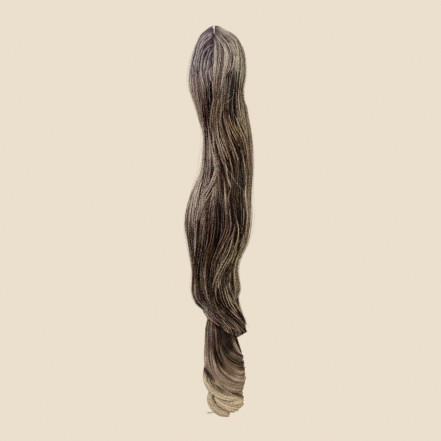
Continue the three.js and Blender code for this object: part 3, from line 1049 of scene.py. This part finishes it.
def new_object(name, data):
    """A new object in the scene."""
    made = bpy.data.objects.new(name, data)
    bpy.context.scene.collection.objects.link(made)
    return made


def mesh_object(name, mesh, material):
    """A new object of a finished bmesh, in one material."""
    data = bpy.data.meshes.new(name)
    mesh.to_mesh(data)
    mesh.free()
    data.materials.append(material)
    return new_object(name, data)


def new_material(name, roughness):
    """A new material and its shader."""
    material = bpy.data.materials.new(name)
    material.use_nodes = True
    shader = material.node_tree.nodes["Principled BSDF"]
    shader.inputs["Roughness"].default_value = roughness
    return material, shader


def put_in_place(piece, slot, *nodes):
    """Rides a finished piece on the hank, in place of its nodes."""
    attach(piece, "root")
    if nodes:
        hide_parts(*nodes)


def ramp_of(tree, stops):
    """A colour ramp through pairs of a place and a colour."""
    node = tree.nodes.new("ShaderNodeValToRGB")
    ramp = node.color_ramp
    while len(ramp.elements) < len(stops):
        ramp.elements.new(0.5)
    for element, (place, tint) in zip(ramp.elements, sorted(stops, key=lambda stop: stop[0])):
        element.position = place
        element.color = (*tint, 1)
    return node


def feed(tree, sockets, values):
    """Gives each socket its value, which is another socket or a number."""
    for socket, value in zip(sockets, values):
        if isinstance(value, bpy.types.NodeSocket):
            tree.links.new(value, socket)
        else:
            socket.default_value = value


def maths(tree, operation, *values, clamp=False):
    """A math node of one or two values."""
    node = tree.nodes.new("ShaderNodeMath")
    node.operation = operation
    node.use_clamp = clamp
    feed(tree, node.inputs, values)
    return node.outputs[0]


# Sockets of a mix node: those that take its factor and its two colours, and the one that gives the mix.
MIX_INPUTS = (0, 6, 7)
MIX_OUTPUT = 2


def blended(tree, mode, *values):
    """A mix by a factor of two colours."""
    node = tree.nodes.new("ShaderNodeMix")
    node.data_type = "RGBA"
    node.blend_type = mode
    feed(tree, [node.inputs[index] for index in MIX_INPUTS], values)
    return node.outputs[MIX_OUTPUT]


# Spots of shine: how many lie across and along the tint map, their detail, the least shine and its range.
SHINE_ACROSS = 30.0
SHINE_ALONG = 22.0
SHINE_DETAIL = 2.0
SHINE_LEAST = 0.55
SHINE_RANGE = 0.9

# Heights between which the belly's painted shade, and the bolder contrast of the fall, come and go, how much
# bolder that is, and round what light.
BELLY_HEIGHTS = (-150, -225, -370, -405)
BOLD_HEIGHTS = (-60, -100, -365, -400)
BOLDNESS = 0.45
BOLD_MIDDLE = 0.36

# Heights where the hair has the colours of the root, of the end of the fall, of the ringlet and of the
# tips, and where dark, middling and light hair gets the colour of the fall.
ROOT_COLOUR = -30
FALL_COLOUR = {"dark": -72, "middle": -95, "light": -95}
FALL_COLOUR_END = -370
ASH_COLOUR = -418
TIP_COLOUR = -462

# Heights where reddish strands start to be auburn, are auburn, are rosy, and no longer are.
RED_START = 0
AUBURN_HEIGHTS = (-80, -345)
ROSY_HEIGHTS = (-382, -405)
RED_END = -447
BLACK = (0, 0, 0)
WHITE = (1, 1, 1)


def height_ramp(tree, along, stops):
    """The colour at each place along the tint map, through pairs of a height and a colour."""
    node = ramp_of(tree, [(height_mark(height), tint) for height, tint in stops])
    tree.links.new(along, node.inputs[0])
    return node.outputs[0]


def strand_colour_group(colours):
    """Colour of a strand from the tint map: across it from dark to light, along it from root to tip."""
    if "Strand colour" in bpy.data.node_groups:
        return bpy.data.node_groups["Strand colour"]
    tree = bpy.data.node_groups.new("Strand colour", "ShaderNodeTree")
    tree.interface.new_socket("Tint", in_out="INPUT", socket_type="NodeSocketColor")
    tree.interface.new_socket("Belly", in_out="INPUT", socket_type="NodeSocketFloat")
    tree.interface.new_socket("Color", in_out="OUTPUT", socket_type="NodeSocketColor")
    given = tree.nodes.new("NodeGroupInput")
    result = tree.nodes.new("NodeGroupOutput")
    uv = tree.nodes.new("ShaderNodeUVMap")
    uv.uv_map = "OFBake"
    split = tree.nodes.new("ShaderNodeSeparateXYZ")
    tree.links.new(uv.outputs[0], split.inputs[0])
    across = maths(tree, "MULTIPLY", split.outputs[0], 2.0)
    along = split.outputs[1]
    reddish = maths(tree, "GREATER_THAN", across, 1.0)
    share = maths(tree, "FRACT", across)

    spots = tree.nodes.new("ShaderNodeCombineXYZ")
    tree.links.new(maths(tree, "MULTIPLY", across, SHINE_ACROSS), spots.inputs[0])
    tree.links.new(maths(tree, "MULTIPLY", along, SHINE_ALONG), spots.inputs[1])
    noise = tree.nodes.new("ShaderNodeTexNoise")
    noise.noise_dimensions = "2D"
    noise.inputs["Scale"].default_value = 1.0
    noise.inputs["Detail"].default_value = SHINE_DETAIL
    tree.links.new(spots.outputs[0], noise.inputs["Vector"])
    shine = maths(tree, "ADD", maths(tree, "MULTIPLY", noise.outputs["Fac"], SHINE_RANGE), SHINE_LEAST)
    come_and_go = (BLACK, WHITE, WHITE, BLACK)
    shade = height_ramp(tree, along, zip(BELLY_HEIGHTS, come_and_go))
    belly_shade = maths(tree, "MULTIPLY", shade, given.outputs["Belly"])
    shown = maths(tree, "SUBTRACT", maths(tree, "MULTIPLY", share, shine), belly_shade)
    bold = height_ramp(tree, along, zip(BOLD_HEIGHTS, come_and_go))
    stretch = maths(tree, "ADD", maths(tree, "MULTIPLY", bold, BOLDNESS), 1.0)
    shown = maths(tree, "MULTIPLY", maths(tree, "SUBTRACT", shown, BOLD_MIDDLE), stretch)
    shown = maths(tree, "ADD", shown, BOLD_MIDDLE)

    dark, middle, light = (
        height_ramp(tree, along, (
            (ROOT_COLOUR, getattr(colours, f"root_{depth}")),
            (height, getattr(colours, f"fall_{depth}")),
            (FALL_COLOUR_END, getattr(colours, f"fall_{depth}")),
            (ASH_COLOUR, getattr(colours, f"ash_{depth}")),
            (TIP_COLOUR, getattr(colours, f"tip_{depth}")),
        ))
        for depth, height in FALL_COLOUR.items()
    )
    below = maths(tree, "MULTIPLY", shown, 2.0, clamp=True)
    above = maths(tree, "SUBTRACT", maths(tree, "MULTIPLY", shown, 2.0), 1.0, clamp=True)
    mixed = blended(tree, "MIX", below, dark, middle)
    mixed = blended(tree, "MIX", above, mixed, light)
    red = height_ramp(tree, along, (
        (RED_START, WHITE),
        *((height, colours.auburn) for height in AUBURN_HEIGHTS),
        *((height, colours.rosy) for height in ROSY_HEIGHTS),
        (RED_END, WHITE),
    ))
    mixed = blended(tree, "MULTIPLY", reddish, mixed, red)
    mixed = blended(tree, "MULTIPLY", 1.0, mixed, given.outputs["Tint"])
    tree.links.new(mixed, result.inputs["Color"])
    return tree


# Tones of hair: its tint, and how dark the painted shade of the belly makes it.
TONES = {
    "cool": ((0.975, 0.94, 1.0), 0.08),
    "plain": ((1.0, 0.955, 0.88), 0.21),
    "warm": ((1.0, 0.975, 0.8), 0.05),
}
HAIR_ROUGHNESS = 0.34
HAIR_GLOSS = 0.12


def hair_material(tone, colours):
    """Satin hair of one of the tones."""
    name = f"{tone} hair"
    if name in bpy.data.materials:
        return bpy.data.materials[name]
    tint, belly = TONES[tone]
    material, shader = new_material(name, HAIR_ROUGHNESS)
    tree = material.node_tree
    shader.inputs["Specular IOR Level"].default_value = HAIR_GLOSS
    group = tree.nodes.new("ShaderNodeGroup")
    group.node_tree = strand_colour_group(colours)
    group.inputs["Tint"].default_value = (*tint, 1)
    group.inputs["Belly"].default_value = belly
    tree.links.new(group.outputs["Color"], shader.inputs["Base Color"])
    return material


# The thread: how rough it is, how fine its fibres are, how dark it is between them, and the parts of the
# noise that are dark and light.
THREAD_ROUGHNESS = 0.75
FIBRE_SCALE = 2600
FIBRE_DARK = 0.5
FIBRE_RANGE = (0.3, 0.7)


def thread_material(colours):
    """Dark matte thread, mottled with fine fibres."""
    material, shader = new_material("wound thread", THREAD_ROUGHNESS)
    tree = material.node_tree
    place = tree.nodes.new("ShaderNodeTexCoord")
    fibre = tree.nodes.new("ShaderNodeTexNoise")
    fibre.inputs["Scale"].default_value = FIBRE_SCALE
    tree.links.new(place.outputs["Object"], fibre.inputs["Vector"])
    dark = tuple(FIBRE_DARK * value for value in colours.thread)
    ramp = ramp_of(tree, list(zip(FIBRE_RANGE, (dark, colours.thread))))
    tree.links.new(fibre.outputs["Fac"], ramp.inputs[0])
    tree.links.new(ramp.outputs[0], shader.inputs["Base Color"])
    return material


def colour(name, description, default):
    """A colour that a user may change."""
    return FloatVectorProperty(name=name, description=description, default=default, size=3,
                               min=0, max=1, subtype="COLOR")


def length(name, description, default):
    """A length that a user may change, in metres."""
    return FloatProperty(name=name, description=description, default=default, unit="LENGTH", precision=5)


def number(name, description, default, least=1):
    """A number of hairs that a user may change."""
    return IntProperty(name=name, description=description, default=default, min=least)


def power(name, description, default):
    """The power of a light that a user may change, in watts."""
    return FloatProperty(name=name, description=description, default=default, unit="POWER")


class HankSizes(bpy.types.PropertyGroup):
    """Sizes of the hair."""

    strand_radius: length("Strand radius", "Half the thickness of a strand", 0.00033)
    stray_radius: length("Flyaway radius", "Half the thickness of a flyaway hair", 0.0001)
    wisp_width: length("Wisp width", "Mean width of the wisps that strands gather in", 0.0011)
    strays: number("Flyaways", "Number of flyaway hairs", 350, least=0)
    tail_strands: number("Tail strands", "Number of strands in the tail", 150)
    wisp_hairs: number("Wisp hairs", "Number of hairs in the loose wisp", 9)


class HankColours(bpy.types.PropertyGroup):
    """Colours of the hair, from the darkest strands to the lightest at each height."""

    # The dark colours are those of the darkest strands, and they also paint the shade of the cores, the
    # inner layers, the furrows and the dark hollow of the ringlet; tip dark is reached almost only by that
    # painted shade.
    root_dark: colour("Root dark", "Darkest hair at the parting", (0.062, 0.043, 0.052))
    root_middle: colour("Root middle", "Middling hair at the parting", (0.188, 0.150, 0.147))
    root_light: colour("Root light", "Lightest hair at the parting", (0.52, 0.478, 0.45))
    fall_dark: colour("Fall dark", "Darkest hair of the fall", (0.011, 0.0044, 0.0028))
    fall_middle: colour("Fall middle", "Middling hair of the fall", (0.113, 0.0655, 0.042))
    fall_light: colour("Fall light", "Lightest hair of the fall", (0.46, 0.386, 0.304))
    ash_dark: colour("Ash dark", "Darkest hair of the ringlet", (0.016, 0.007, 0.0045))
    ash_middle: colour("Ash middle", "Middling hair of the ringlet", (0.236, 0.193, 0.124))
    ash_light: colour("Ash light", "Lightest hair of the ringlet", (0.545, 0.493, 0.35))
    tip_dark: colour("Tip dark", "Darkest hair at the tips", (0.02, 0.010, 0.006))
    tip_middle: colour("Tip middle", "Middling hair at the tips", (0.475, 0.398, 0.288))
    tip_light: colour("Tip light", "Lightest hair at the tips", (0.66, 0.578, 0.45))
    auburn: colour("Auburn", "Tint of the reddish strands of the fall", (1.0, 0.66, 0.55))
    rosy: colour("Rosy", "Tint of the reddish strands of the ringlet", (0.97, 0.89, 0.99))
    thread: colour("Thread", "Colour of the tie", (0.028, 0.02, 0.016))


class HankStage(bpy.types.PropertyGroup):
    """Camera, lights and floor."""

    backdrop: colour("Backdrop", "Colour behind the hank", (0.831, 0.737, 0.617))
    floor: colour("Floor", "Colour of the floor", (0.50, 0.445, 0.38))
    distance: length("Camera distance", "From the camera to the hank", 2.2)
    frame_width: length("Frame width", "What the picture spans at the hank", 0.5733)
    frame_x: length("Frame centre X", "Middle of the picture, to the right of the tie", 0.00845)
    frame_z: length("Frame centre Z", "Middle of the picture, above the tie", -0.24245)
    floor_drop: length("Floor drop", "From the tie down to the floor", 0.78)
    key: power("Key light", "Power of the main light", 47.0)
    fill: power("Fill light", "Power of the light on the right", 22.0)
    top: power("Top light", "Power of the light above", 12.0)
    back: power("Back light", "Power of the light behind", 40.0)
    ambient: FloatProperty(name="Ambient", description="Strength of the light from all round", default=0.1)


# Reddish strands: the share of a lock's strands that are auburn, the light from which fewer are and how
# fast that falls, the share of a curl's strands on the left that are rosy, the ring where that is read,
# and how far it fades.
AUBURN_SHARE = 0.5
AUBURN_LIGHT = 0.5
AUBURN_SLOPE = 2
ROSY_SHARE = 0.9
ROSY_RING = 5
ROSY_WIDE = 12.0

# How much the thickness of strands differs, and how much of a solid's width its core has, painted dark as
# the shade deep in the hair.
STRAND_RADII = (0.7, 1.3)
LOCK_CORE = 0.87
CURL_CORE = 0.85


def auburn_odds(paths, light):
    """The chance that each strand of a lock is auburn. Light strands aren't."""
    return AUBURN_SHARE - AUBURN_SLOPE * np.maximum(light.max(1) - AUBURN_LIGHT, 0)


def rosy_odds(paths, light):
    """The chance that each strand of a curl is rosy. Those that start on the left are."""
    return ROSY_SHARE * ease((CURL_AXIS - paths[:, ROSY_RING, 0]) / ROSY_WIDE)


def dress(scene, name, parts, sets, rng, tone, red_odds):
    """One piece of sets of strands round other parts, of one tone, with some of the strands reddish."""
    for paths, light, thick in sets:
        reddish = rng.uniform(0, 1, len(light)) < red_odds(paths, light)
        radius = scene.hank_sizes.strand_radius / MM * thick[:, None]
        radius = radius * rng.uniform(*STRAND_RADII, (len(paths), 1))
        parts.append(tube_parts(paths, light, reddish, radius))
    return join_parts(name, parts, hair_material(tone, scene.hank_colours))


def dress_locks(scene, indices):
    """Builds the hair of several locks."""
    for index in indices:
        lock = named(LOCK_COLUMNS, LOCKS[index])
        rng = np.random.default_rng(lock.seed)
        sets = [
            lock_strands(index, lock, scene.hank_sizes, rng),
            fan_strands(index, lock, scene.hank_sizes, rng),
            sweep_strands(index, lock, rng),
        ]
        core = core_parts(lock.name, lambda points: fall_rows(points[:, 2]), LOCK_CORE)
        piece = dress(scene, f"{lock.name}_hair", [core], sets, rng, lock.tone, auburn_odds)
        put_in_place(piece, "dark_hair", lock.name)


class HANK_OT_front_locks(bpy.types.Operator):
    """Build the hair of the locks at the front and at the two edges"""

    bl_idname = "hank.front_locks"
    bl_label = "Front Locks"

    def execute(self, context):
        dress_locks(context.scene, FRONT_LOCKS)
        return {"FINISHED"}


class HANK_OT_back_locks(bpy.types.Operator):
    """Build the hair of the locks at the back"""

    bl_idname = "hank.back_locks"
    bl_label = "Back Locks"

    def execute(self, context):
        dress_locks(context.scene, BACK_LOCKS)
        return {"FINISHED"}


class HANK_OT_curls(bpy.types.Operator):
    """Build the hair that winds down the turns of the ringlet"""

    bl_idname = "hank.curls"
    bl_label = "Curls"

    def execute(self, context):
        scene = context.scene
        for name in CURLS:
            curl = named(CURL_HAIR_COLUMNS, CURL_HAIR[name])
            rng = np.random.default_rng(curl.seed)
            strands = curl_strands(name, curl, scene.hank_sizes, rng)
            middle = curl_rows(name, np.array([0.5]))
            core = core_parts(name, lambda points: middle, CURL_CORE)
            piece = dress(scene, f"{name}_hair", [core], [strands], rng, "plain", rosy_odds)
            put_in_place(piece, curl.slot, name)
        return {"FINISHED"}


class HANK_OT_tail(bpy.types.Operator):
    """Build the short tail under the last turn of the ringlet"""

    bl_idname = "hank.tail"
    bl_label = "Tail"

    def execute(self, context):
        scene = context.scene
        rng = np.random.default_rng(TAIL_SEED)
        tail = tail_strands(rng, scene.hank_sizes.tail_strands)
        wisp = loose_wisp(rng, scene.hank_sizes.wisp_hairs)
        piece = dress(scene, "curl_tail_hair", [], [tail, wisp], rng, "plain", rosy_odds)
        put_in_place(piece, "blond_hair", "curl_tail")
        return {"FINISHED"}


# Flyaways: rings, the heights they start at, how long they are, how far above the end of the fall they stop
# at the latest, how far they stand off the hank on average, at most and at least, how much of a bow they
# make, how far they drift and sway sideways, and how fast they sway.
STRAY_RINGS = 12
STRAY_STARTS = (-330.0, 0.0)
STRAY_LENGTHS = (35.0, 120.0)
STRAY_END = 12.0
STRAY_LIFT = 1.1
STRAY_LIFT_MOST = 4.0
STRAY_CLEAR = 0.4
STRAY_BOW = (0.55, 1.0)
STRAY_DRIFT = 2.2
STRAY_SWAY = 1.2
STRAY_SWAYS = 3

# Hairs that cross the front: how far round they run, and their reach. All flyaways: light and thickness.
CROSS_WIDEST = 0.99
CROSS_REACH = 1.05
STRAY_LIGHT = (0.7, 1.0)
STRAY_RADII = (0.8, 1.2)


def scattered_hairs(rng, count):
    """Paths of flyaways that are scattered over the locks."""
    t = np.linspace(0, 1, STRAY_RINGS)[None, :]
    locks = rows_of(LOCK_COLUMNS, LOCKS)
    shares = np.array([lock.strays for lock in locks], float)
    root = np.full((1, 1), CREST)
    paths = []
    for index in rng.choice(len(LOCKS), count, p=shares / shares.sum()):
        height = rng.uniform(*STRAY_STARTS) - t * rng.uniform(*STRAY_LENGTHS)
        height = np.maximum(height, FALL_END + STRAY_END)
        lift = min(rng.exponential(STRAY_LIFT), STRAY_LIFT_MOST)
        lift = lift * np.sin(np.pi * t * rng.uniform(*STRAY_BOW))
        side = rng.normal(0, STRAY_DRIFT) * t + rng.normal(0, STRAY_SWAY) * np.sin(STRAY_SWAYS * t)
        place = np.full((1, 1), rng.uniform(0, 1))
        out = lift + STRAY_CLEAR
        paths.append(lie_on_fall(index, locks[index], place, root, height, side, out)[0])
    return paths


def crossing_hairs():
    """Paths of the single hairs that cross the front."""
    t = np.linspace(0, 1, STRAY_RINGS)
    paths = []
    for stray in rows_of(STRAY_COLUMNS, STRAYS):
        x = stray.x_from + (stray.x_to - stray.x_from) * t
        z = stray.z_from + (stray.z_to - stray.z_from) * t - 4 * stray.sag * t * (1 - t)
        row = fall_rows(z)
        paths.append(on_section(row, angle_at(row, x, CROSS_WIDEST), CROSS_REACH))
    return paths


class HANK_OT_flyaways(bpy.types.Operator):
    """Build the loose hairs that stand off the hank"""

    bl_idname = "hank.flyaways"
    bl_label = "Flyaways"

    def execute(self, context):
        sizes = context.scene.hank_sizes
        rng = np.random.default_rng(STRAY_SEED)
        paths = np.array(scattered_hairs(rng, sizes.strays) + crossing_hairs())
        light = rng.uniform(*STRAY_LIGHT, (len(paths), 1)) * np.ones(STRAY_RINGS)
        radius = sizes.stray_radius / MM * rng.uniform(*STRAY_RADII, (len(paths), 1))
        hairs = tube_parts(paths, light, np.zeros(len(paths)), radius)
        piece = join_parts("flyaway_hair", [hairs], hair_material("plain", context.scene.hank_colours))
        put_in_place(piece, "dark_hair")
        return {"FINISHED"}


# The wound tie: turns of thread, steps in a turn, and sides of the thread.
TIE_TURNS = 9
TIE_STEPS = 16
THREAD_SIDES = 8


class HANK_OT_tie(bpy.types.Operator):
    """Wind the thread of the tie round its middle"""

    bl_idname = "hank.tie"
    bl_label = "Tie"

    def execute(self, context):
        low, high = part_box("tie")
        middle = (low + high) / 2
        radius = (high.x - low.x) / 2
        pitch = (high.z - low.z) / (TIE_TURNS + 1)
        thread = pitch * 0.5
        inner = radius - thread
        mesh = bmesh.new()
        bmesh.ops.create_cone(mesh, cap_ends=True, segments=TIE_STEPS, radius1=inner, radius2=inner,
                              depth=high.z - low.z)
        bmesh.ops.translate(mesh, verts=mesh.verts, vec=middle)
        ring = bmesh.ops.create_circle(mesh, cap_ends=True, segments=THREAD_SIDES, radius=thread)["verts"]
        faces = {face for vertex in ring for face in vertex.link_faces}
        bmesh.ops.rotate(mesh, verts=ring, cent=(0, 0, 0), matrix=Matrix.Rotation(np.pi / 2, 3, "X"))
        start = Vector((middle.x + inner, middle.y, high.z - pitch))
        bmesh.ops.translate(mesh, verts=ring, vec=start)
        edges = {edge for vertex in ring for edge in vertex.link_edges}
        bmesh.ops.spin(mesh, geom=[*ring, *edges, *faces], cent=middle, axis=(0, 0, 1),
                       angle=2 * np.pi * TIE_TURNS, steps=TIE_STEPS * TIE_TURNS,
                       dvec=(0, 0, -pitch / TIE_STEPS))
        bmesh.ops.recalc_face_normals(mesh, faces=mesh.faces)
        for face in mesh.faces:
            face.smooth = True
        piece = mesh_object("wound_tie", mesh, thread_material(context.scene.hank_colours))
        put_in_place(piece, "tie_thread", "tie")
        return {"FINISHED"}


# Soft square lights: the place of each, the point it faces, if that isn't the middle of the picture, its
# size and its tint. Places and sizes are in metres.
LIGHT_COLUMNS = ("name", "place", "target", "size", "tint")
LIGHTS = (
    ("key", (-1.2, -1.5, 0.5), None, 0.9, (1.0, 0.985, 0.98)),
    ("fill", (1.65, -0.95, -0.1), None, 0.9, (1.0, 0.95, 0.87)),
    ("top", (0.1, -0.3, 1.1), (0, 0, -0.05), 0.5, (1.0, 0.98, 0.96)),
    ("back", (0.3, 1.6, 0.4), None, 1.1, (1.0, 0.98, 0.95)),
)
FLOOR_RADIUS = 1.3
FLOOR_SIDES = 96
FLOOR_ROUGHNESS = 0.9


class HANK_OT_stage(bpy.types.Operator):
    """Set the camera, the lights, the backdrop and the floor"""

    bl_idname = "hank.stage"
    bl_label = "Stage"

    def execute(self, context):
        stage = context.scene.hank_stage
        self.set_camera(context.scene, stage)
        self.set_lights(stage)
        self.set_world(context.scene, stage)
        self.set_floor(stage)
        context.scene.view_settings.view_transform = "Standard"
        context.scene.cycles.use_denoising = False
        return {"FINISHED"}

    @staticmethod
    def set_camera(scene, stage):
        """A long lens that looks straight along +Y at the middle of the picture."""
        data = bpy.data.cameras.new("camera")
        data.lens = data.sensor_width * stage.distance / stage.frame_width
        camera = new_object("camera", data)
        camera.location = (stage.frame_x, -stage.distance, stage.frame_z)
        camera.rotation_euler = (np.pi / 2, 0, 0)
        scene.camera = camera

    @staticmethod
    def set_lights(stage):
        """The soft lights, each facing its target."""
        middle = (stage.frame_x, 0, stage.frame_z)
        for row in rows_of(LIGHT_COLUMNS, LIGHTS):
            data = bpy.data.lights.new(f"{row.name} light", "AREA")
            data.size = row.size
            data.energy = getattr(stage, row.name)
            data.color = row.tint
            light = new_object(data.name, data)
            light.location = row.place
            facing = Vector(row.target or middle) - Vector(row.place)
            light.rotation_euler = facing.to_track_quat("-Z", "Y").to_euler()

    @staticmethod
    def set_world(scene, stage):
        """The backdrop's colour for the camera, and an even light for the hair."""
        world = bpy.data.worlds.new("backdrop")
        world.use_nodes = True
        tree = world.node_tree
        output = tree.nodes["World Output"]
        seen = tree.nodes["Background"]
        seen.inputs["Color"].default_value = (*stage.backdrop, 1)
        even = tree.nodes.new("ShaderNodeBackground")
        even.inputs["Color"].default_value = (*stage.backdrop, 1)
        even.inputs["Strength"].default_value = stage.ambient
        path = tree.nodes.new("ShaderNodeLightPath")
        mix = tree.nodes.new("ShaderNodeMixShader")
        tree.links.new(path.outputs["Is Camera Ray"], mix.inputs[0])
        tree.links.new(even.outputs[0], mix.inputs[1])
        tree.links.new(seen.outputs[0], mix.inputs[2])
        tree.links.new(mix.outputs[0], output.inputs["Surface"])
        scene.world = world

    @staticmethod
    def set_floor(stage):
        """A plain pale disc under the hank."""
        mesh = bmesh.new()
        bmesh.ops.create_circle(mesh, cap_ends=True, segments=FLOOR_SIDES, radius=FLOOR_RADIUS)
        bmesh.ops.translate(mesh, verts=mesh.verts, vec=(0, 0, -stage.floor_drop))
        material, shader = new_material("pale floor", FLOOR_ROUGHNESS)
        shader.inputs["Base Color"].default_value = (*stage.floor, 1)
        floor = mesh_object("floor", mesh, material)


class HANK_PT_panel(bpy.types.Panel):
    """Lists the steps that build the hank"""

    bl_label = "Hank of Hair"
    bl_idname = "HANK_PT_panel"
    bl_space_type = "VIEW_3D"
    bl_region_type = "UI"
    bl_category = "Hair"

    def draw(self, context):
        for step in STEPS:
            self.layout.operator(step.bl_idname)
        for group in (context.scene.hank_sizes, context.scene.hank_colours, context.scene.hank_stage):
            box = self.layout.box()
            for name in group.__annotations__:
                box.prop(group, name)


GROUPS = {"hank_sizes": HankSizes, "hank_colours": HankColours, "hank_stage": HankStage}
STEPS = (
    HANK_OT_stage, HANK_OT_front_locks, HANK_OT_back_locks, HANK_OT_curls, HANK_OT_tail,
    HANK_OT_flyaways, HANK_OT_tie,
)


def register():
    for cls in (*GROUPS.values(), *STEPS, HANK_PT_panel):
        bpy.utils.register_class(cls)
    for name, group in GROUPS.items():
        setattr(bpy.types.Scene, name, PointerProperty(type=group))


def unregister():
    for name in GROUPS:
        delattr(bpy.types.Scene, name)
    for cls in (HANK_PT_panel, *reversed(STEPS), *reversed(GROUPS.values())):
        bpy.utils.unregister_class(cls)


def main():
    register()
    bpy.ops.hank.stage()
    bpy.ops.hank.front_locks()
    bpy.ops.hank.back_locks()
    bpy.ops.hank.curls()
    bpy.ops.hank.tail()
    bpy.ops.hank.flyaways()
    bpy.ops.hank.tie()


if __name__ == "__main__":
    main()
